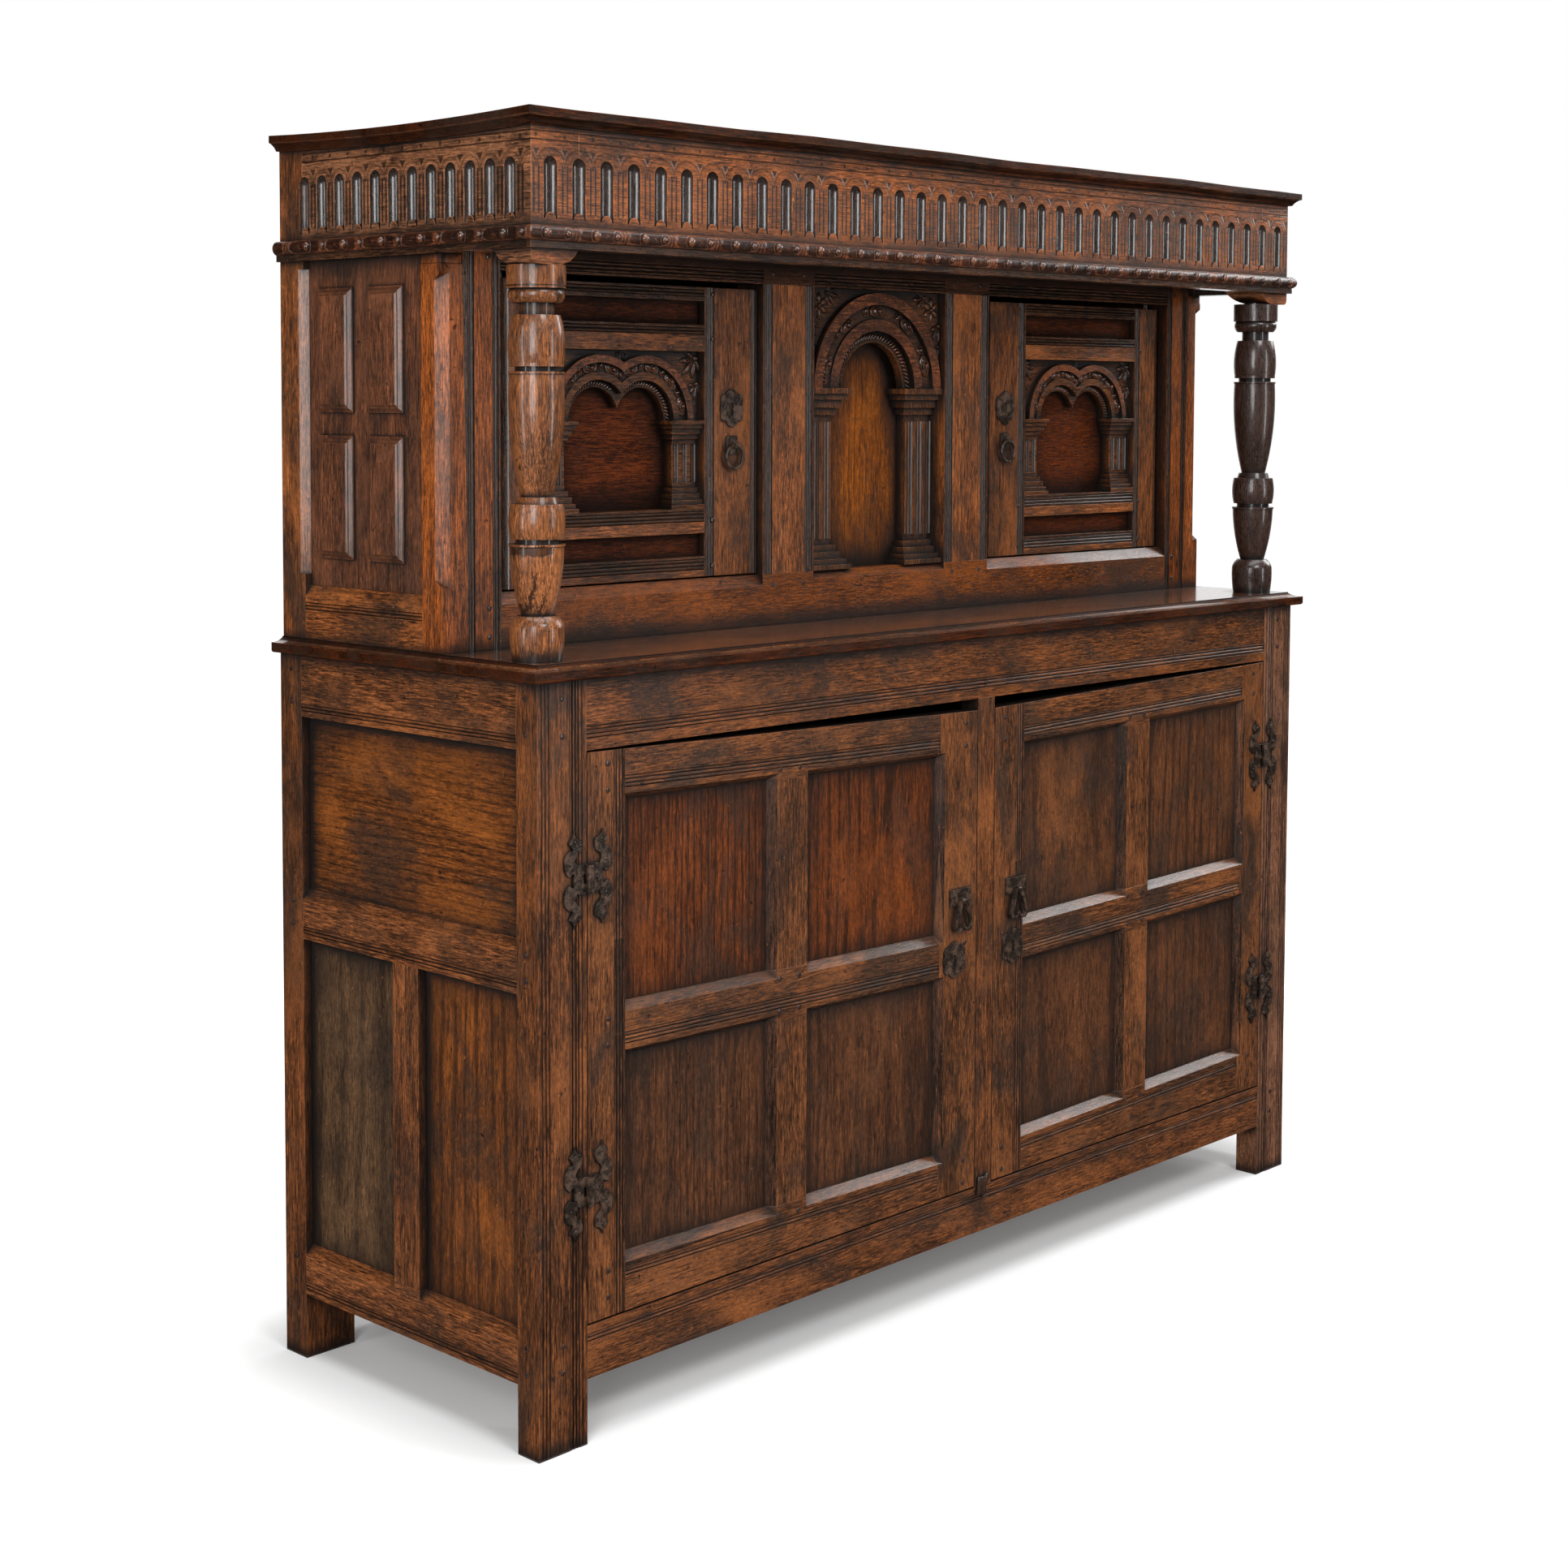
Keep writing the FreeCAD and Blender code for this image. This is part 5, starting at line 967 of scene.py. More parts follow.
class Carver:
    """Works up small pieces of ornament from simple solids; sizes in millimetres."""

    def alone(self) -> None:
        """Leaves nothing selected."""
        bpy.ops.object.select_all(action="DESELECT")

    def ball(self, radii: tuple, place: tuple = (0, 0, 0), turn: float = 0.0, segments: int = 14,
             rings: int = 8) -> bpy.types.Object:
        """An egg shape.

        Args:
            radii: its three half sizes
            place: its middle
            turn: turn about the line to the viewer, in radians
            segments: facets round it
            rings: facets from end to end

        Returns:
            the object
        """
        self.alone()
        bpy.ops.mesh.primitive_uv_sphere_add(
            segments=segments, ring_count=rings, radius=1, location=Vector(place) * MM,
            rotation=(0, turn, 0), scale=Vector(radii) * MM)
        bpy.ops.object.transform_apply(location=True, rotation=True, scale=True)
        return bpy.context.object

    def hoop(self, radius: float, wire: float, stretch: tuple = (1, 1), place: tuple = (0, 0, 0),
             segments: int = 22) -> bpy.types.Object:
        """A rim that lies in the face of the work.

        Args:
            radius: radius of its middle line
            wire: radius of its section
            stretch: stretch along X and Z
            place: its middle
            segments: facets round it

        Returns:
            the object
        """
        self.alone()
        bpy.ops.mesh.primitive_torus_add(
            major_radius=radius * MM, minor_radius=wire * MM, major_segments=segments, minor_segments=6,
            rotation=(math.pi / 2, 0, 0))
        bpy.ops.object.transform_apply(rotation=True)
        bpy.ops.transform.resize(value=(stretch[0], 1, stretch[1]))
        bpy.context.object.location = Vector(place) * MM
        bpy.ops.object.transform_apply(location=True, scale=True)
        return bpy.context.object

    def bar(self, size: tuple, place: tuple, turn: float, soft: float) -> bpy.types.Object:
        """A bar with softened edges.

        Args:
            size: its three sizes
            place: its middle
            turn: turn about the line to the viewer, in radians
            soft: width of the softened edge

        Returns:
            the object
        """
        self.alone()
        bpy.ops.mesh.primitive_cube_add(
            size=1, location=Vector(place) * MM, rotation=(0, turn, 0), scale=Vector(size) * MM)
        bpy.ops.object.transform_apply(location=True, rotation=True, scale=True)
        self.softened(bpy.context.object, soft)
        return bpy.context.object

    def softened(self, piece: bpy.types.Object, width: float) -> None:
        """Rounds a piece's edges.

        Args:
            piece: the piece
            width: width of the rounding
        """
        bpy.context.view_layer.objects.active = piece
        bevel = piece.modifiers.new("soft", "BEVEL")
        bevel.width = width * MM
        bevel.segments = 2
        bevel.limit_method = "ANGLE"
        bpy.ops.object.modifier_apply(modifier=bevel.name)

    def bent(self, piece: bpy.types.Object, radius: float) -> None:
        """Bends a flat piece back over a bead that runs along X.

        Args:
            piece: the piece, with its middle on the bead's crest
            radius: the bead's radius
        """
        bpy.context.view_layer.objects.active = piece
        deform = piece.modifiers.new("bend", "SIMPLE_DEFORM")
        deform.deform_method = "BEND"
        deform.deform_axis = "X"
        reach = max(abs(corner[2]) for corner in piece.bound_box)
        deform.angle = 2 * reach / (radius * MM)
        bpy.ops.object.modifier_apply(modifier=deform.name)

    def joined(self, parts: list[bpy.types.Object], name: str) -> bpy.types.Object:
        """Joins pieces into one object.

        Args:
            parts: the pieces
            name: the new name

        Returns:
            the object
        """
        self.alone()
        for part in parts:
            part.select_set(True)
        bpy.context.view_layer.objects.active = parts[0]
        if len(parts) > 1:
            bpy.ops.object.join()
        parts[0].name = name
        return parts[0]

    def stamped(self, unit: bpy.types.Object, places: list[Matrix], name: str) -> bpy.types.Object:
        """Repeats a unit, each copy with its own mesh, and joins the copies.

        Args:
            unit: the piece to repeat, which goes
            places: where each copy goes
            name: the new name

        Returns:
            the object
        """
        copies = []
        for place in places:
            copy = unit.copy()
            copy.data = unit.data.copy()
            copy.matrix_world = place
            bpy.context.scene.collection.objects.link(copy)
            copies.append(copy)
        bpy.data.objects.remove(unit, do_unlink=True)
        piece = self.joined(copies, name)
        bpy.ops.object.transform_apply(location=True, rotation=True, scale=True)
        return piece

    def done(self, piece: bpy.types.Object, material: bpy.types.Material, body: str, slot: str,
             angle: float = 50.0) -> None:
        """Turns faces outward, shades, paints and files a finished piece.

        Args:
            piece: the piece
            material: its material
            body: the body that it rides on
            slot: not used
            angle: edges sharper than this stay sharp, in degrees
        """
        self.alone()
        piece.select_set(True)
        bpy.context.view_layer.objects.active = piece
        bpy.ops.object.mode_set(mode="EDIT")
        bpy.ops.mesh.select_all(action="SELECT")
        bpy.ops.mesh.normals_make_consistent(inside=False)
        bpy.ops.object.mode_set(mode="OBJECT")
        bpy.ops.object.shade_smooth_by_angle(angle=math.radians(angle))
        piece.data.materials.clear()
        piece.data.materials.append(material)
        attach(piece, body)


def spot(x: float, y: float, z: float, turn: float = 0.0, about: str = "Y", size: float = 1.0) -> Matrix:
    """A place for a copy.

    Args:
        x: millimetres
        y: millimetres
        z: millimetres
        turn: turn in radians
        about: axis of the turn
        size: scale

    Returns:
        the matrix
    """
    return Matrix.Translation(Vector((x, y, z)) * MM) @ Matrix.Rotation(turn, 4, about) @ Matrix.Scale(size, 4)


@dataclass
class Job:
    """One stretch of work on the cupboard, with the materials and tools for it."""

    shop: Workshop
    tools: Carver


@dataclass
class LowerStage(Job):
    """Frame, side panels, back and floor of the lower stage."""

    big_panel_foot: float = 586.0
    olive_panel_front: float = 3.0
    back_joints: tuple[float, ...] = (-434.0, -144.8, 144.8, 434.0)

    def side_panel(self, middle: Vector, normal: Vector, size: Vector) -> int:
        """Which panel of a side a face is on.

        Args:
            middle: the face's middle in millimetres
            normal: its normal
            size: its extent along each axis, in millimetres

        Returns:
            0 for the wide panel, 1 for the olive one, 2 for its neighbour
        """
        if middle.z > self.big_panel_foot:
            return 0
        return 1 if middle.y > self.olive_panel_front else 2

    def do(self) -> None:
        """Gives each member its oak."""
        shop = self.shop
        stiles = (
            ("front_left_stile", LOWER_FRAME_OAK, stile_marks),
            ("front_right_stile", RIGHT_STILE_OAK, stile_marks),
            ("back_stiles", LOWER_FRAME_OAK, None))
        for seed, (name, finish, marks) in enumerate(stiles):
            shop.dress(f"lower_{name}", shop.oak(finish, Grain.UP, seed, marks))
        shop.dress_plainly(
            ("lower_front_top_rail", LOWER_FRAME_OAK, Grain.ACROSS, 1),
            ("lower_front_bottom_rail", LOWER_FRAME_OAK, Grain.ACROSS, 2),
            ("lower_centre_muntin", LOWER_FRAME_OAK, Grain.UP, 3),
            ("lower_side_muntins", SIDE_FRAME_OAK, Grain.UP, 4),
            ("lower_left_side_rails", SIDE_FRAME_OAK, Grain.DEEP, 1),
            ("lower_right_side_rails", SIDE_FRAME_OAK, Grain.DEEP, 1),
            ("lower_back_rails", INNER_OAK, Grain.ACROSS, 1),
            ("lower_floor_boards", INNER_OAK, Grain.ACROSS, 3))
        panels = (shop.oak(SIDE_PANEL_OAK, Grain.DEEP, 2), shop.oak(OLIVE_OAK, Grain.UP, 2),
                  shop.oak(SIDE_PANEL_OAK, Grain.UP, 3))
        for side in ("left", "right"):
            shop.dress(f"lower_{side}_side_panels", *panels, choose=self.side_panel)
        shop.dress_planks("lower_back_boards", INNER_OAK, Grain.UP, 2, 0, self.back_joints)


@dataclass(frozen=True)
class LowerDoor:
    """One lower door, which has dropped at its free edge; sizes in millimetres."""

    side: str
    seed: int
    panel: OakFinish
    hinge: float
    reach: float
    uprights: tuple[Span, Span]
    peg_columns: Span
    middle: float
    drop: float = 14.0
    rails: tuple[Span, ...] = ((147, 220), (462, 528), (773, 836))
    rail_margin: float = 4
    low_panel_top: float = 490

    def fall(self, x: float) -> float:
        """How far the door has dropped at a place across it."""
        return self.drop * abs(x - self.hinge) / self.reach

    def member(self, middle: Vector, normal: Vector, size: Vector) -> int:
        """Which member a face is on.

        Args:
            middle: the face's middle in millimetres
            normal: its normal
            size: its extent along each axis, in millimetres

        Returns:
            0 for an upright, 1 for a rail, 2 and 3 for their mouldings
        """
        level = middle.z + self.fall(middle.x)
        upright = any(low <= middle.x <= high for low, high in self.uprights)
        in_rail = any(low - self.rail_margin <= level <= high + self.rail_margin for low, high in self.rails)
        return int(in_rail and not upright) + 2 * moulded(normal, size)

    def dress(self, shop: Workshop) -> None:
        """Gives each member its oak.

        Args:
            shop: where the materials come from
        """
        shop.dress(
            f"lower_{self.side}_door_frame", shop.oak(DOOR_OAK, Grain.UP, self.seed),
            shop.oak(DOOR_OAK, Grain.ACROSS, self.seed), shop.oak(MOULDED_OAK, Grain.UP, 1),
            shop.oak(MOULDED_OAK, Grain.ACROSS, 1), choose=self.member)
        shop.dress(
            f"lower_{self.side}_door_panels", shop.oak(self.panel, Grain.UP, self.seed),
            shop.oak(LOWER_PANEL_OAK, Grain.UP, self.seed),
            choose=lambda middle, normal, size: int(middle.z < self.low_panel_top))


LOWER_DOORS = (
    LowerDoor("left", 5, PANEL_OAK, -722.5, 725.0, ((-723, -662), (-77, 3)), (-690, -22), -375.0),
    LowerDoor("right", 6, RIGHT_PANEL_OAK, 722.5, 681.0, ((41, 108), (662, 723)), (64, 695), 380.0))


class LowerDoors(Job):
    """The two framed doors of the lower stage, with four panels each."""

    def do(self) -> None:
        """Gives each door its oak."""
        for door in LOWER_DOORS:
            door.dress(self.shop)


@dataclass
class Boards(Job):
    """The middle board and the top board, with the joints between their planks."""

    mid_joints: Span = (-77.7, 91.7)
    top_joint: float = 14.0

    def do(self) -> None:
        """Gives the boards their oak."""
        edges = [self.shop.oak(EDGE_OAK, Grain.ACROSS, seed) for seed in (1, 2)]
        self.shop.dress_planks("mid_board", BOARD_OAK, Grain.ACROSS, 1, 1, self.mid_joints, edges[0])
        self.shop.dress_planks("top_board", TOP_OAK, Grain.ACROSS, 2, 1, (self.top_joint,), edges[1])


@dataclass
class UpperStage(Job):
    """Frame, sides, back, middle arch and doors of the upper stage."""

    door_uprights: tuple[Span, Span] = ((244, 344), (627, 701))
    top_rail_foot: float = 1368
    back_joints: tuple[float, ...] = (-477.0, -159.0, 159.0, 477.0)
    centre_ground_y: float = -58.5
    door_ground_y: float = -52.5
    door_capital_foot: float = 1223

    def door_part(self, middle: Vector, normal: Vector, size: Vector) -> int:
        """Which finish a face of a door frame has.

        Args:
            middle: the face's middle in millimetres
            normal: its normal
            size: its extent along each axis, in millimetres

        Returns:
            0 for an upright, 1 for a rail, 2 and 3 for their mouldings, 4 for the top rail, painted darker as the
            canopy's shade
        """
        across = 0 if any(a <= abs(middle.x) <= b for a, b in self.door_uprights) else 1
        if moulded(normal, size):
            return 2 + across
        return 4 if across and middle.z > self.top_rail_foot else across

    def do(self) -> None:
        """Gives each member its oak."""
        shop = self.shop
        # The two front stiles take the oak painted lighter for the light from the front left.
        for seed, name in enumerate(("front_left_stile", "front_right_stile", "back_stiles", "muntins")):
            shop.dress(f"upper_{name}", shop.oak(LIT_STILE_OAK if seed < 2 else FRAME_OAK, Grain.UP, 7 + seed),
                       shop.oak(MOULDED_OAK, Grain.UP, 2), choose=plain_or_moulded)
        # The head rail is painted darker as the canopy's shade.
        for name, finish, seed, edge_seed in (("sill", RED_OAK, 1, 2), ("head", CANOPY_SHADE_OAK, 3, 3)):
            shop.dress(f"upper_front_{name}_rail", shop.oak(finish, Grain.ACROSS, seed),
                       shop.oak(MOULDED_OAK, Grain.ACROSS, edge_seed), choose=plain_or_moulded)
        shop.dress_plainly(
            ("upper_side_sill_rails", FRAME_OAK, Grain.DEEP, 2),
            ("upper_left_side_panel", SIDE_BLOCK_OAK, Grain.UP, 2),
            ("upper_right_side_panel", SIDE_BLOCK_OAK, Grain.UP, 3),
            ("centre_panel", GOLDEN_OAK, Grain.UP, 1),
            ("centre_pilasters", CARVED_OAK, Grain.UP, 1))
        shop.dress_planks("upper_back_boards", INNER_OAK, Grain.UP, 4, 0, self.back_joints)
        shop.dress("upper_door_pivot_pins", shop.iron)
        shop.dress("centre_arch", shop.oak(BAND_OAK, Grain.ACROSS, 1), shop.oak(CARVED_OAK, Grain.ACROSS, 1),
                   choose=lambda middle, normal, size: int(middle.y > self.centre_ground_y))
        for seed, side in ((1, "left"), (2, "right")):
            door = f"upper_{side}_door"
            # The doors' top rails take the oak painted darker as the canopy's shade.
            shop.dress(
                f"{door}_frame", shop.oak(UPPER_DOOR_OAK, Grain.UP, 11 + seed),
                shop.oak(FRAME_OAK, Grain.ACROSS, 11 + seed), shop.oak(MOULDED_OAK, Grain.UP, 4),
                shop.oak(MOULDED_OAK, Grain.ACROSS, 4), shop.oak(CANOPY_SHADE_OAK, Grain.ACROSS, 4), choose=self.door_part)
            shop.dress_plainly((f"{door}_panels", ARCH_BACK_OAK, Grain.ACROSS, 3 + seed))
            shop.dress(f"{door}_arches", shop.oak(BAND_OAK, Grain.ACROSS, 2 + seed),
                       shop.oak(CARVED_OAK, Grain.ACROSS, 2 + seed),
                       choose=lambda middle, normal, size: int(
                           middle.y > self.door_ground_y or middle.z < self.door_capital_foot))


@dataclass
class Canopy(Job):
    """The frieze with its bead moulding, the boards under it and the two balusters; sizes in millimetres."""

    front_flutes: Span = (-232.5, -200)
    side_flutes: Span = (770, 794.5)
    corner_front_flutes: Span = (-232.5, -215)
    corner_side_flutes: Span = (780, 794.5)
    corner_front_half: float = 794
    corner_front_y: float = -232
    flute_reach: Span = (1455, 1545)
    flute_length: float = 90
    bead_turn: Span = (772, -225)
    bead_foot: float = 1433.5

    def corner_part(self, middle: Vector, normal: Vector, size: Vector) -> int:
        """Which finish a face of a corner block has.

        Args:
            middle: the face's middle in millimetres
            normal: its normal
            size: its extent along each axis, in millimetres

        Returns:
            0 for the front, 1 for the side, 2 for a flute
        """
        in_front = (abs(middle.x) < self.corner_front_half and abs(normal.x) < 0.995
                    and self.corner_front_flutes[0] < middle.y < self.corner_front_flutes[1])
        on_side = (middle.y > self.corner_front_y
                   and self.corner_side_flutes[0] < abs(middle.x) < self.corner_side_flutes[1])
        foot, head = self.flute_reach
        if (in_front or on_side) and foot < middle.z < head and max(size) < self.flute_length:
            return 2
        return int(abs(normal.x) > 0.7)

    def bead_part(self, middle: Vector, normal: Vector, size: Vector) -> int:
        """Which finish a face of the bead has: 0 front, 1 side, 2 and 3 the fillets under them."""
        on_side = abs(middle.x) > self.bead_turn[0] and middle.y > self.bead_turn[1]
        return int(on_side) + 2 * (middle.z < self.bead_foot)

    def do(self) -> None:
        """Gives each member its oak."""
        shop = self.shop
        front = shop.oak(FRIEZE_OAK, Grain.ACROSS, 6, front_frieze_marks)
        side = shop.oak(SIDE_FRIEZE_OAK, Grain.DEEP, 6, side_frieze_marks)
        # The flutes take the oak painted dark as shade, with a grey painted sheen.
        hollow = shop.oak(FLUTE_SHADE_OAK, Grain.UP, 1)
        shop.dress("frieze_front_board", front, hollow, choose=lambda middle, normal, size: int(
            self.front_flutes[0] < middle.y < self.front_flutes[1]))
        shop.dress("frieze_side_boards", side, hollow, choose=lambda middle, normal, size: int(
            self.side_flutes[0] < abs(middle.x) < self.side_flutes[1]))
        shop.dress("canopy_corner_blocks", front, side, hollow, choose=self.corner_part)
        shop.dress(
            "bead_mouldings", shop.oak(BAND_OAK, Grain.ACROSS, 5, front_bead_marks),
            shop.oak(BAND_OAK, Grain.DEEP, 5, side_bead_marks), shop.oak(MOULDED_OAK, Grain.ACROSS, 5),
            shop.oak(MOULDED_OAK, Grain.DEEP, 5), choose=self.bead_part)
        shop.dress("left_baluster", shop.oak(TURNED_OAK, Grain.UP, 1, baluster_marks))
        # The soffit boards are painted darker as the canopy's shade.
        shop.dress_plainly(
            ("canopy_soffit_boards", CANOPY_SHADE_OAK, Grain.ACROSS, 15), ("right_baluster", DARK_TURNED_OAK, Grain.UP, 2))


@dataclass
class Ironwork(Job):
    """Hinges, handle plates, loops and rings."""

    nodes: tuple[str, ...] = (
        "lower_hinge_frame_leaves", "lower_left_door_hinge_leaves", "lower_right_door_hinge_leaves",
        "lower_left_handle_plates", "lower_right_handle_plates", "lower_left_drop_loop", "lower_right_drop_loop",
        "upper_left_handle_plates", "upper_right_handle_plates", "upper_left_ring", "upper_right_ring")

    def do(self) -> None:
        """Gives the ironwork its finish."""
        for node in self.nodes:
            self.shop.dress(node, self.shop.iron)


@dataclass
class BeadCarving(Job):
    """Bosses and crescents carved along the bead under the frieze; sizes in millimetres."""

    pitch: float = 76.8
    first_x: float = -705.5
    repeats: tuple[int, int] = (-1, 20)
    crest_y: float = -244.8
    crest_x: float = 806.8
    middle_z: float = 1442.0
    bead_radius: float = 9.29
    first_side_y: float = -198.0
    side_repeats: int = 6

    def unit(self) -> bpy.types.Object:
        """One repeat: a ringed boss, and a small boss in a crescent.

        Returns:
            the unit, bent over the bead
        """
        tools = self.tools
        parts = [
            tools.ball((5.6, 6.2, 5.6), (0, 0.6, 0), segments=18, rings=10),
            tools.hoop(7.2, 0.9, (1.0, 0.98), (0, 0.2, 0)),
            tools.ball((4.2, 4.8, 3.8), (32.5, 0.6, 0)), tools.hoop(7.0, 0.95, (0.85, 0.98), (33.5, 0.2, 0)),
        ]
        unit = tools.joined(parts, "bead_unit")
        tools.bent(unit, self.bead_radius)
        return unit

    def do(self) -> None:
        """Carves the front and both returns."""
        front = [spot(self.first_x + k * self.pitch, self.crest_y, self.middle_z) for k in range(*self.repeats)]
        returns = []
        for side in (-1, 1):
            for k in range(self.side_repeats):
                y = self.first_side_y + k * self.pitch
                returns.append(spot(side * self.crest_x, y, self.middle_z, side * math.pi / 2, "Z"))
        for name, places, grain in (("bead_front", front, Grain.ACROSS), ("bead_returns", returns, Grain.DEEP)):
            carved = self.tools.stamped(self.unit(), places, name)
            self.tools.done(carved, self.shop.oak(JEWEL_OAK, grain, 5), "carcase", "carved_oak")


@dataclass
class WarpedBoard(Job):
    """The top board, which has sunk a little along its left end and gone wavy in front."""

    node: str = "top_board"
    cuts: tuple[int, int] = (24, 10)
    sag: float = 5.5
    wave: float = 1.1
    left_start: float = 0.45
    left_length: float = 0.36
    front_y: float = -0.245
    depth: float = 0.50

    def fall(self, x: float, y: float) -> float:
        """How far a point of the board has sunk.

        Args:
            x: metres
            y: metres

        Returns:
            the fall in metres
        """
        left = max(0.0, min(1.0, (-x - self.left_start) / self.left_length))
        along = math.sin(math.pi * max(0.0, min(1.0, (y - self.front_y) / self.depth))) ** 0.8
        wavy = self.wave * (1.1 + math.sin(x * 9.0 + 0.7) * 0.7 + math.sin(x * 23.0) * 0.4)
        return (self.sag * left * left * along + wavy) * MM

    def do(self) -> None:
        """Copies the board from the frame, divides it along its length and lets it sink."""
        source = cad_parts[self.node]
        board = source.copy()
        board.data = source.data.copy()
        for key in list(board.keys()):
            del board[key]
        board.name = "warped_top_board"
        board.animation_data_clear()
        bpy.context.scene.collection.objects.link(board)
        self.tools.alone()
        board.select_set(True)
        bpy.context.view_layer.objects.active = board
        low, high = (Vector(corner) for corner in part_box(self.node))
        bpy.ops.object.mode_set(mode="EDIT")
        bpy.ops.mesh.select_all(action="SELECT")
        bpy.ops.mesh.remove_doubles(threshold=0.00002)
        for axis, count in enumerate(self.cuts):
            plane = Vector((0, 0, 0))
            plane[axis] = 1
            for k in range(1, count):
                bpy.ops.mesh.select_all(action="SELECT")
                bpy.ops.mesh.bisect(plane_co=low.lerp(high, k / count), plane_no=plane)
        bpy.ops.object.mode_set(mode="OBJECT")
        for point in board.data.vertices:
            point.co.z -= self.fall(point.co.x, point.co.y)
        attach(board, "carcase")
        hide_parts(self.node)


@dataclass
class ArchCarving(Job):
    """Jewels, twisted rope, flowers and leaves carved on one arch board; sizes in millimetres."""

    name: str
    body: str
    centres: tuple[float, ...]
    spring_z: float
    front_y: float
    inner: float
    outer: float
    jewel_pitch: float
    jewel_size: float
    rope_share: float
    rope_y: float
    seed: int
    meet_share: float = 0.615
    jewel_share: float = 0.63
    channel_depth: float = 7.0
    rope_pitch: float = 5.0
    rope_lean: float = 0.55
    petal_reach: float = 10.4
    fan: tuple[Span, ...] = ((-1.25, 7.5), (-0.62, 9.5), (0.0, 11.0), (0.62, 9.5), (1.25, 7.5))

    def arcs(self) -> list[tuple[float, float, float]]:
        """Finds where each arch runs, cut short where two arches meet.

        Returns:
            centre, first and last angle of each arch
        """
        radius = self.inner + (self.outer - self.inner) * self.meet_share
        middle = sum(self.centres) / len(self.centres)
        result = []
        for x in self.centres:
            meet = math.acos(min(1.0, abs(middle - x) / radius)) if len(self.centres) > 1 else 0.0
            result.append((x, meet if x < middle else 0.0, math.pi - meet if x > middle else math.pi))
        return result

    def along_arches(self, radius: float, pitch: float, y: float, lean: float) -> list[Matrix]:
        """Places along every arch.

        Args:
            radius: radius of the line of places
            pitch: distance between them
            y: their depth
            lean: turn from the line of the arch

        Returns:
            the places
        """
        places = []
        for x, start, end in self.arcs():
            count = max(3, round(radius * (end - start) / pitch))
            for k in range(count):
                angle = start + (end - start) * (k + 0.5) / count
                places.append(spot(x + radius * math.cos(angle), y, self.spring_z + radius * math.sin(angle),
                                   math.pi / 2 - angle + lean, "Y", self.jewel_size))
        return places

    def carved(self, unit: bpy.types.Object, places: list[Matrix], word: str, finish: OakFinish) -> None:
        """Repeats a unit over the board and finishes the piece.

        Args:
            unit: the unit
            places: where each copy goes
            word: last word of the piece's name
            finish: its oak
        """
        piece = self.tools.stamped(unit, places, f"{self.name}_{word}")
        self.tools.done(piece, self.shop.oak(finish, Grain.ACROSS, self.seed), self.body, "carved_oak")

    def petal(self, angle: float, reach: float, radii: tuple, segments: int, rings: int) -> bpy.types.Object:
        """A leaf or petal that points away from the middle of its unit.

        Args:
            angle: its direction, from upright, in radians
            reach: distance of its middle
            radii: its three half sizes
            segments: facets round it
            rings: facets from end to end

        Returns:
            the object
        """
        place = (reach * math.sin(angle), 0, reach * math.cos(angle))
        return self.tools.ball(radii, place, angle, segments, rings)

    def do(self) -> None:
        """Carves the jewels and the rope."""
        tools = self.tools
        wide = self.outer - self.inner
        jewel = tools.joined([
            tools.ball((11.0, 4.6, 6.3), (0, 0.6, 0), segments=20), tools.hoop(6.3, 1.0, (1.75, 1.0), (0, -1.0, 0)),
            tools.hoop(4.4, 0.8, (1.0, 0.95), (0, -3.7, 0), 16), tools.ball((3.0, 4.2, 3.0), (0, -3.4, 0)),
            tools.ball((1.4, 1.8, 1.4), (7.6, -3.0, 0), segments=10, rings=6),
            tools.ball((2.4, 3.4, 4.6), (-19.0, 0.4, 0), segments=10, rings=6),
            tools.hoop(5.0, 0.9, (0.8, 1.1), (-19.0, -0.4, 0), 14)], "jewel")
        places = self.along_arches(
            self.inner + wide * self.jewel_share, self.jewel_pitch, self.front_y + self.channel_depth - 0.3, 0.0)
        self.carved(jewel, places, "jewels", JEWEL_OAK)
        strand = tools.ball((2.0, 2.2, 5.4), segments=8, rings=6)
        places = self.along_arches(self.inner + wide * self.rope_share, self.rope_pitch * self.jewel_size,
                                   self.rope_y - 0.3, self.rope_lean)
        self.carved(strand, places, "rope", JEWEL_OAK)

    def flowers(self, places: list[tuple[float, float]], y: float) -> None:
        """Carves a flower of six petals at each place.

        Args:
            places: X and Z of each middle
            y: depth of the ground
        """
        angles = [k * math.pi / 3 for k in range(6)]
        petals = [self.petal(a, self.petal_reach, (5.0, 3.6, 8.4), 12, 8) for a in angles]
        petals += [self.petal(a, self.petal_reach, (0.9, 4.0, 6.0), 8, 6) for a in angles]
        unit = self.tools.joined(petals + [self.tools.ball((3.6, 5.0, 3.6), segments=12, rings=6)], "flower")
        self.carved(unit, [spot(x, y, z) for x, z in places], "flowers", CARVED_OAK)

    def leaves(self, places: list[tuple[float, float, float, float]], y: float) -> None:
        """Carves a fan of leaves at each place.

        Args:
            places: X and Z of each stalk, the fan's lean and its scale
            y: depth of the ground
        """
        fan = []
        for a, reach in self.fan:
            fan.append(self.petal(a, reach, (2.9, 3.0, reach * 0.86), 10, 6))
            fan.append(self.petal(a, reach, (0.7, 3.7, reach * 0.6), 6, 6))
        unit = self.tools.joined(fan + [self.tools.ball((3.0, 3.8, 3.0), segments=10, rings=6)], "fan")
        self.carved(unit, [spot(x, y, z, turn, "Y", size) for x, z, turn, size in places], "leaves", CARVED_OAK)


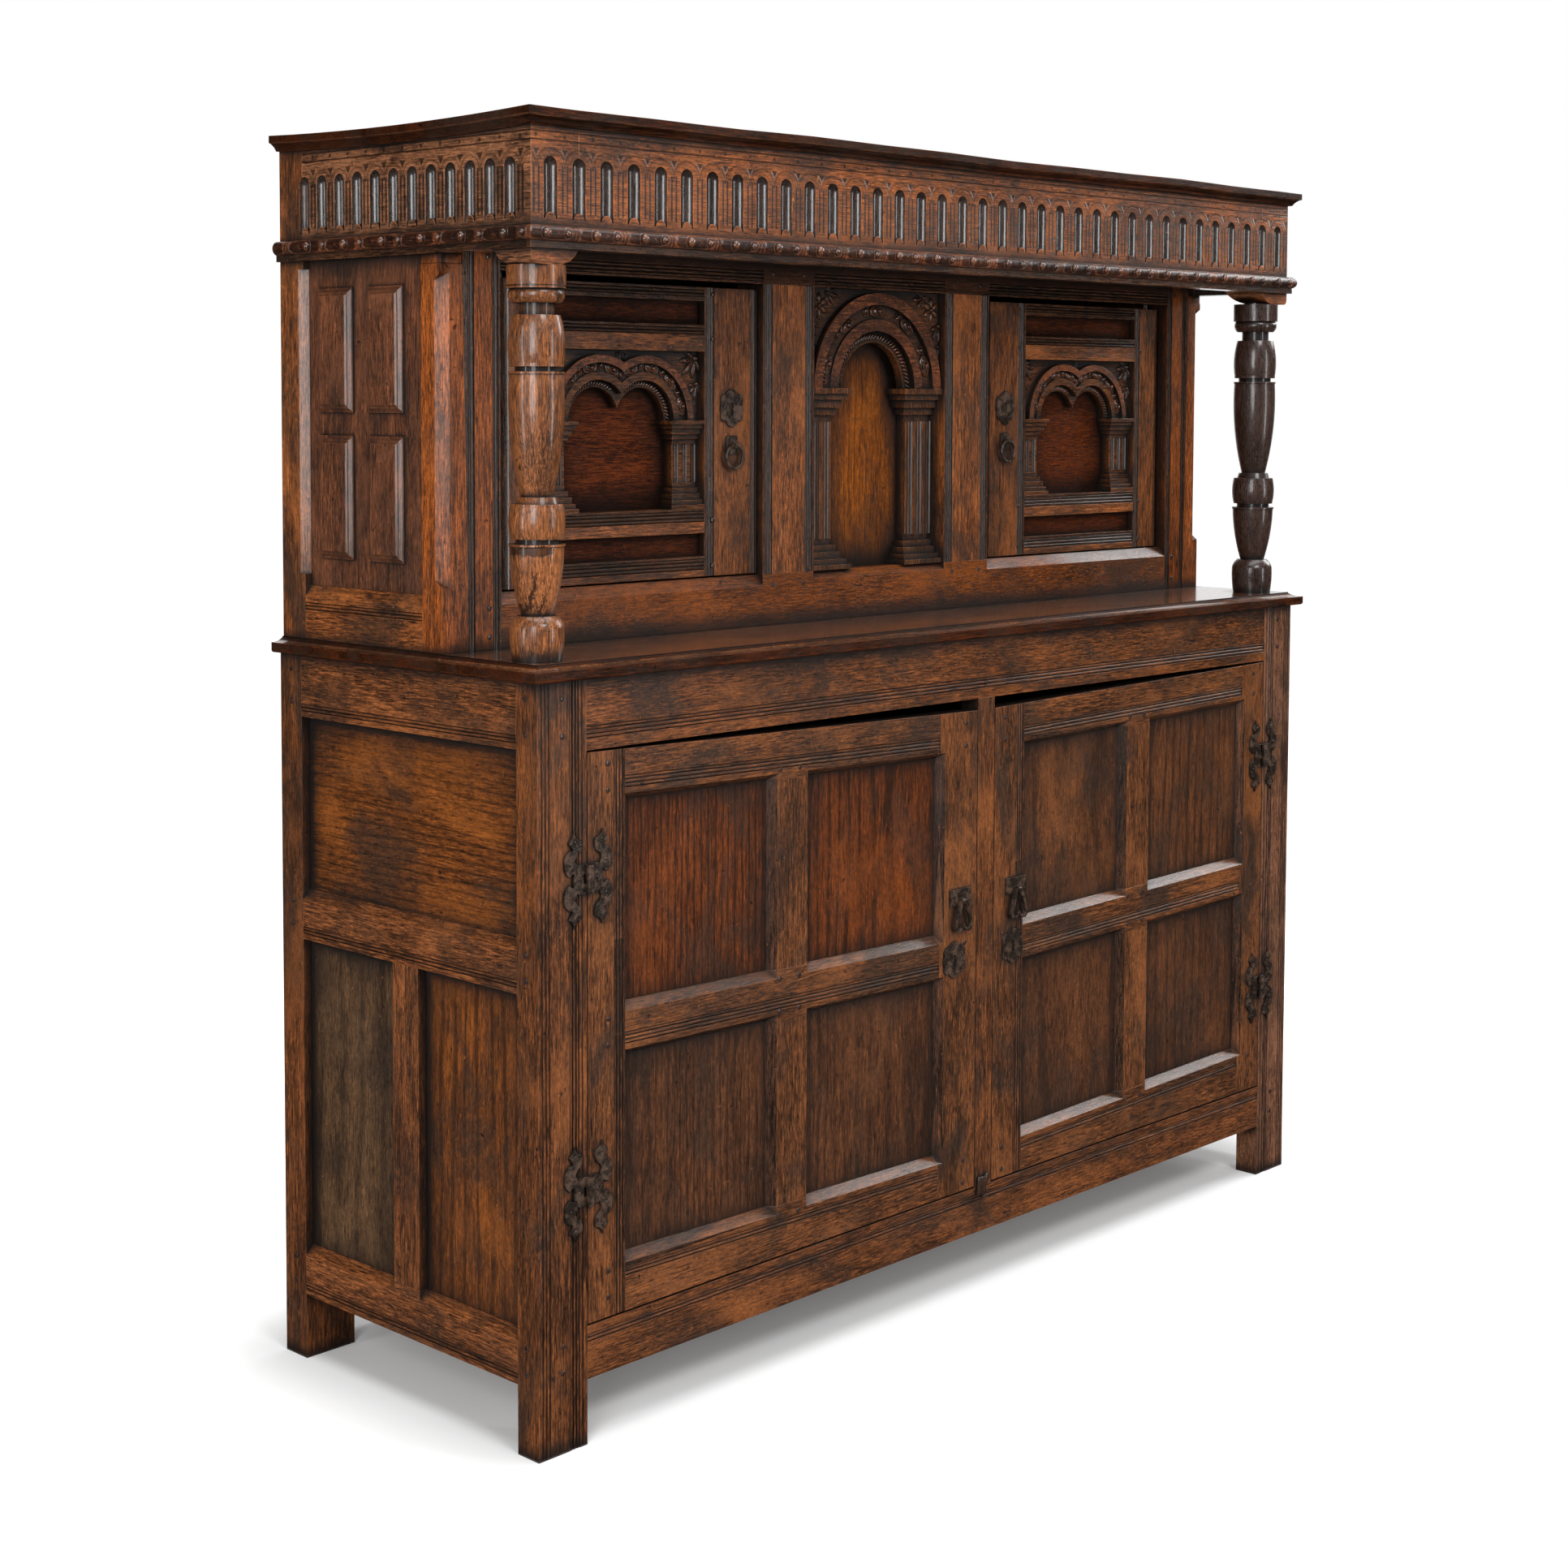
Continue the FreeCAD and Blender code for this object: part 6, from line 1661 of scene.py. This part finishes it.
@dataclass
class Pegs(Job):
    """Oak pegs at the joints and nails in the hinges; sizes in millimetres."""

    peg_radius: float = 3.6
    nail_radius: float = 2.1
    front_y: float = -247.0
    upper_y: float = -67.0
    door_y: float = -57.0
    stile_x: float = 762
    side_x: float = 800
    upper_stile_x: float = 722
    muntin_x: float = 22
    side_rows: Span = (-225, 238)
    upper_muntin_columns: Span = (160, 222)
    stile_levels: tuple[float, ...] = (98, 130, 858, 902)
    side_levels: tuple[float, ...] = (100, 132, 572, 602, 862, 904)
    upper_stile_levels: tuple[float, ...] = (960, 995, 1424)
    upper_muntin_levels: Span = (999, 1422)
    muntin_levels: Span = (860, 130)
    door_levels: tuple[float, ...] = (172, 204, 480, 512, 788, 820)
    door_muntin_half: float = 18
    door_muntin_levels: tuple[float, ...] = (206, 474, 516, 787)
    upper_door_columns: Span = (328, 641)
    upper_door_levels: tuple[float, ...] = (1029, 1090, 1332, 1391)
    hinge_x: float = 723.25
    hinge_levels: Span = (310, 686)
    nail_spots: tuple[Span, ...] = ((21, 45), (28, 20), (14, 0), (28, -20), (21, -45))

    def peg(self) -> bpy.types.Object:
        """One peg, slightly domed, standing out towards the viewer.

        Returns:
            the object
        """
        self.tools.alone()
        bpy.ops.mesh.primitive_cylinder_add(
            vertices=11, radius=self.peg_radius * MM, depth=3.0 * MM, rotation=(math.pi / 2, 0, 0),
            location=(0, 0.9 * MM, 0))
        bpy.ops.object.transform_apply(location=True, rotation=True)
        peg = bpy.context.object
        self.tools.softened(peg, 0.6)
        return peg

    def set_in(self, name: str, body: str, places: list[tuple[float, float, float, float]], seed: int) -> None:
        """Drives pegs of one body.

        Args:
            name: name of the piece
            body: body that it rides on
            places: X, Y and Z, and a turn about the upright, of each peg
            seed: start of the small differences
        """
        pick = random.Random(seed)
        spots = []
        for x, y, z, turn in places:
            size = pick.uniform(0.85, 1.15)
            spots.append(spot(x, y, z, turn, "Z", size) @ Matrix.Rotation(pick.uniform(0, 3), 4, "Y"))
        pegs = self.tools.stamped(self.peg(), spots, name)
        self.tools.done(pegs, self.shop.oak(DARK_TURNED_OAK, Grain.DEEP, seed), body, "frame_oak", 40)

    def frame_pegs(self) -> None:
        """Drives the pegs of the fixed frame."""
        places = []
        for side in (-1, 1):
            places += [(side * self.stile_x, self.front_y, z, 0) for z in self.stile_levels]
            places += [(side * self.side_x, y, z, side * math.pi / 2)
                       for z in self.side_levels for y in self.side_rows]
            places += [(side * self.upper_stile_x, self.upper_y, z, 0) for z in self.upper_stile_levels]
            places += [(side * x, self.upper_y, z, 0)
                       for x in self.upper_muntin_columns for z in self.upper_muntin_levels]
        places += [(self.muntin_x, self.front_y, z, 0) for z in self.muntin_levels]
        self.set_in("frame_pegs", "carcase", places, 3)

    def door_pegs(self) -> None:
        """Drives the pegs of all four doors."""
        for door in LOWER_DOORS:
            places = [(x, z) for x in door.peg_columns for z in self.door_levels]
            places += [(door.middle + aside, z) for aside in (-self.door_muntin_half, self.door_muntin_half)
                       for z in self.door_muntin_levels]
            name = f"lower_{door.side}_door"
            self.set_in(f"{name}_pegs", name, [(x, self.front_y, z - door.fall(x), 0) for x, z in places],
                        int(door.reach))
        for name, side in (("upper_left_door", -1), ("upper_right_door", 1)):
            places = [(side * x, self.door_y, z, 0) for x in self.upper_door_columns for z in self.upper_door_levels]
            self.set_in(f"{name}_pegs", name, places, 12 + side)

    def nails(self) -> None:
        """Drives the nails of the hinges."""
        spots: dict[str, list[Span]] = {"carcase": [], "lower_left_door": [], "lower_right_door": []}
        for side, door in ((-1, "lower_left_door"), (1, "lower_right_door")):
            for height in self.hinge_levels:
                for across, up in self.nail_spots:
                    spots["carcase"].append((side * (self.hinge_x + across), height + up))
                    spots[door].append((side * (self.hinge_x - across), height + up))
        for body, places in spots.items():
            head = self.tools.ball((self.nail_radius, 1.3, self.nail_radius), segments=10, rings=6)
            nails = self.tools.stamped(head, [spot(x, self.front_y - 2.6, z) for x, z in places], f"{body}_nails")
            self.tools.done(nails, self.shop.iron, body, "wrought_iron")

    def shoulders(self) -> None:
        """Fits the stile heads up to the canopy, and the worn catch at the foot of the lower muntin."""
        tools = self.tools
        heads = [tools.bar((32.5, 38.0, 12.5), (side * 778.5, -47.6, 1419.0), 0.0, 1.0) for side in (-1, 1)]
        catch = [tools.bar((19.0, 5.0, 25.0), (17.0, -248.5, 146.0), 0.12, 1.6),
                 tools.bar((9.0, 8.0, 14.0), (27.0, -248.0, 155.0), 0.5, 2.4)]
        # The stile heads share the front stiles' oak, painted lighter for the light from the front left.
        for parts, name, finish, seed, angle in (
                (heads, "stile_heads", LIT_STILE_OAK, 7, 40), (catch, "worn_catch", MOULDED_OAK, 9, 60)):
            oak = self.shop.oak(finish, Grain.UP, seed)
            tools.done(tools.joined(parts, name), oak, "carcase", "frame_oak", angle)

    def do(self) -> None:
        """Drives all pegs and nails."""
        self.frame_pegs()
        self.door_pegs()
        self.nails()
        self.shoulders()


@dataclass(frozen=True)
class SoftBox:
    """A lamp: where it hangs, the point it looks at, its width and height in metres, and its watts."""

    name: str
    place: tuple[float, float, float]
    aim: tuple[float, float, float]
    size: Span
    watts: float

    def hang(self) -> None:
        """Hangs the lamp."""
        data = bpy.data.lights.new(self.name, "AREA")
        data.shape = "RECTANGLE"
        data.size, data.size_y = self.size
        data.energy = self.watts
        lamp = bpy.data.objects.new(self.name, data)
        lamp.location = self.place
        lamp.rotation_euler = (Vector(self.aim) - Vector(self.place)).to_track_quat("-Z", "Y").to_euler()
        bpy.context.scene.collection.objects.link(lamp)


SOFT_BOXES = (
    SoftBox("left_box", (-3.9, -2.3, 1.9), (0, 0, 0.9), (1.4, 2.2), 95),
    SoftBox("right_box", (3.7, -0.8, 2.7), (0, 0, 0.6), (1.6, 1.6), 60),
    SoftBox("top_box", (0.0, -0.5, 4.0), (0, 0, 0.5), (4.0, 3.0), 130),
    SoftBox("front_box", (-1.2, -4.6, 4.4), (0, 0, 0.8), (2.2, 1.2), 120),
    SoftBox("front_strip", (1.5, -4.5, 1.4), (0, 0, 1.1), (0.45, 2.4), 45),
    SoftBox("left_strip", (-4.8, 0.5, 1.4), (-0.8, 0, 1.1), (0.45, 2.4), 40))


@dataclass
class Studio:
    """Camera, floor, curtains and lamps; sizes in metres."""

    camera_place: tuple[float, float, float] = (-2.6585, -2.4174, 1.2509)
    yaw: float = 0.8094
    pitch: float = -0.063
    roll: float = 0.0037
    lens: float = 56.86
    sensor: float = 36.0
    shift: Span = (-0.00248, -0.1451)
    floor_half: float = 30.0
    floor_shade: float = 0.84
    footprint: Span = (0.80, 0.25)
    glow_reach: Span = (0.0, 0.30)
    glow_levels: Span = (0.08, 0.85)
    soft_level: float = 0.27
    curtain_radius: float = 7.0
    curtain_height: float = 12.0
    behind: tuple[float, float, float] = (0.724, 0.69, 0)
    gap_half: float = 40
    carpet_radius: float = 6.9
    cloth_shade: float = 0.04

    def camera(self) -> None:
        """Stands the camera where the photograph was taken."""
        forward = Vector((math.sin(self.yaw) * math.cos(self.pitch), math.cos(self.yaw) * math.cos(self.pitch),
                          math.sin(self.pitch)))
        right = Vector((math.cos(self.yaw), -math.sin(self.yaw), 0))
        up = right.cross(forward)
        level = math.cos(self.roll) * right + math.sin(self.roll) * up
        upright = -math.sin(self.roll) * right + math.cos(self.roll) * up
        turn = Matrix((level, upright, -forward)).transposed().to_4x4()
        data = bpy.data.cameras.new("camera")
        data.lens = self.lens
        data.sensor_width = self.sensor
        data.shift_x, data.shift_y = self.shift
        data.clip_end = 200.0
        camera = bpy.data.objects.new("camera", data)
        camera.matrix_world = Matrix.Translation(self.camera_place) @ turn
        bpy.context.scene.collection.objects.link(camera)
        bpy.context.scene.camera = camera

    def floor(self) -> None:
        """Lays a pale floor that goes white away from the object's shadow."""
        bpy.ops.object.select_all(action="DESELECT")
        bpy.ops.mesh.primitive_plane_add(size=2 * self.floor_half)
        floor = bpy.context.object
        floor.name = "floor"
        graph = Graph("pale_floor")
        matt = graph.add("ShaderNodeBsdfDiffuse", {"Color": (*[self.floor_shade] * 3, 1)})
        beyond = [graph.most(graph.minus(graph.unsigned(place), half), 0.0)
                  for place, half in zip(graph.parts(), self.footprint)]
        away = graph.math("SQRT", graph.squares(*beyond))
        level = graph.span(away, *self.glow_reach, *self.glow_levels)
        glow = graph.add("ShaderNodeEmission", {"Strength": graph.times(graph.seen(), level)})
        both = graph.add("ShaderNodeAddShader", {0: matt.outputs[0], 1: glow.outputs[0]})
        floor.data.materials.append(graph.finished(both))

    def curtains(self) -> None:
        """Hangs dark curtains round the camera side, seen only in the polish."""
        bpy.ops.mesh.primitive_cylinder_add(
            vertices=72, radius=self.curtain_radius, depth=self.curtain_height, end_fill_type="NOTHING",
            location=(0, 0, self.curtain_height / 2))
        curtains = bpy.context.object
        curtains.name = "curtains"
        bpy.ops.object.transform_apply(location=True)
        bpy.ops.object.mode_set(mode="EDIT")
        mesh = bmesh.from_edit_mesh(curtains.data)
        for face in mesh.faces:
            middle = face.calc_center_median()
            flat = Vector((middle.x, middle.y, 0)).normalized()
            face.select_set(flat.dot(Vector(self.behind)) > math.cos(math.radians(self.gap_half)))
        bmesh.update_edit_mesh(curtains.data)
        bpy.ops.mesh.delete(type="FACE")
        bpy.ops.object.mode_set(mode="OBJECT")
        self.cloth(curtains)

    def carpet(self) -> None:
        """Lays a dark carpet on the floor, seen only in the polish."""
        bpy.ops.object.select_all(action="DESELECT")
        bpy.ops.mesh.primitive_circle_add(
            vertices=72, radius=self.carpet_radius, fill_type="NGON", location=(0, 0, 0.002))
        carpet = bpy.context.object
        carpet.name = "carpet"
        bpy.ops.object.transform_apply(location=True)
        self.cloth(carpet)

    def cloth(self, piece: bpy.types.Object) -> None:
        """Makes a piece of the studio of dark cloth that only the polish sees.

        Args:
            piece: the piece
        """
        graph = Graph(f"dark_cloth_{piece.name}")
        matt = graph.add("ShaderNodeBsdfDiffuse", {"Color": (*[self.cloth_shade] * 3, 1)})
        piece.data.materials.append(graph.finished(matt))
        piece.visible_camera = False
        piece.visible_diffuse = False
        piece.visible_shadow = False
        piece.visible_transmission = False

    def world(self) -> None:
        """A white surround for the eye and for reflections, and a softer one for light."""
        world = bpy.data.worlds.new("studio")
        bpy.context.scene.world = world
        world.use_nodes = True
        nodes = Nodes(world.node_tree)
        level = nodes.add("ShaderNodeMapRange", {0: nodes.seen(), 3: self.soft_level, 4: 1.0})
        back = world.node_tree.nodes["Background"]
        world.node_tree.links.new(level.outputs[0], back.inputs[1])
        back.inputs[0].default_value = (1, 1, 1, 1)

    def build(self) -> None:
        """Sets up the whole studio."""
        self.camera()
        self.floor()
        self.curtains()
        self.carpet()
        self.world()
        for lamp in SOFT_BOXES:
            lamp.hang()


def main() -> None:
    """Builds and dresses the cupboard, stage by stage."""
    logging.basicConfig(level=logging.INFO, format="%(name)s: %(message)s")
    bpy.context.scene.view_settings.view_transform = "Standard"
    shop, tools = Workshop(), Carver()
    Studio().build()
    for job in (LowerStage, LowerDoors, Boards, UpperStage, Canopy, Ironwork, WarpedBoard, BeadCarving, Pegs):
        job(shop, tools).do()
        log.info("%s is done", job.__name__)
    middle = ArchCarving(
        shop, tools, "centre_arch", "carcase", centres=(0.0,), spring_z=1268.0, front_y=-63.0, inner=66.0,
        outer=136.0, jewel_pitch=69.0, jewel_size=1.25, rope_share=0.13, rope_y=-50.0, seed=1)
    middle.do()
    middle.flowers([(-120, 1383), (120, 1383)], -54.5)
    middle.leaves([
        (side * x, z, side * lean, size) for side in (-1, 1)
        for x, z, lean, size in ((104, 1401, -1.75, 1.25), (136, 1360, 3.05, 1.3), (137, 1330, 3.14, 0.9))], -54.5)
    log.info("middle arch is carved")
    for side, word in ((-1, "left"), (1, "right")):
        doors = ArchCarving(
            shop, tools, f"upper_{word}_door_arch", f"upper_{word}_door",
            centres=tuple(sorted((side * 445.5, side * 525.5))), spring_z=1223.5, front_y=-53.0, inner=43.5,
            outer=85.0, jewel_pitch=38.0, jewel_size=1.0, rope_share=0.14, rope_y=-40.0, seed=3 + side)
        doors.do()
        ends = sorted((side * 352, side * 619))
        doors.leaves([
            (ends[0], 1306, 2.35, 1.55), (ends[1], 1306, -2.35, 1.55), (ends[0] - 3, 1272, 3.0, 1.1),
            (ends[1] + 3, 1272, -3.0, 1.1), (side * 485.5, 1312, math.pi, 0.8)], -44.5)
        log.info("%s door arches are carved", word)


if __name__ == "__main__":
    main()
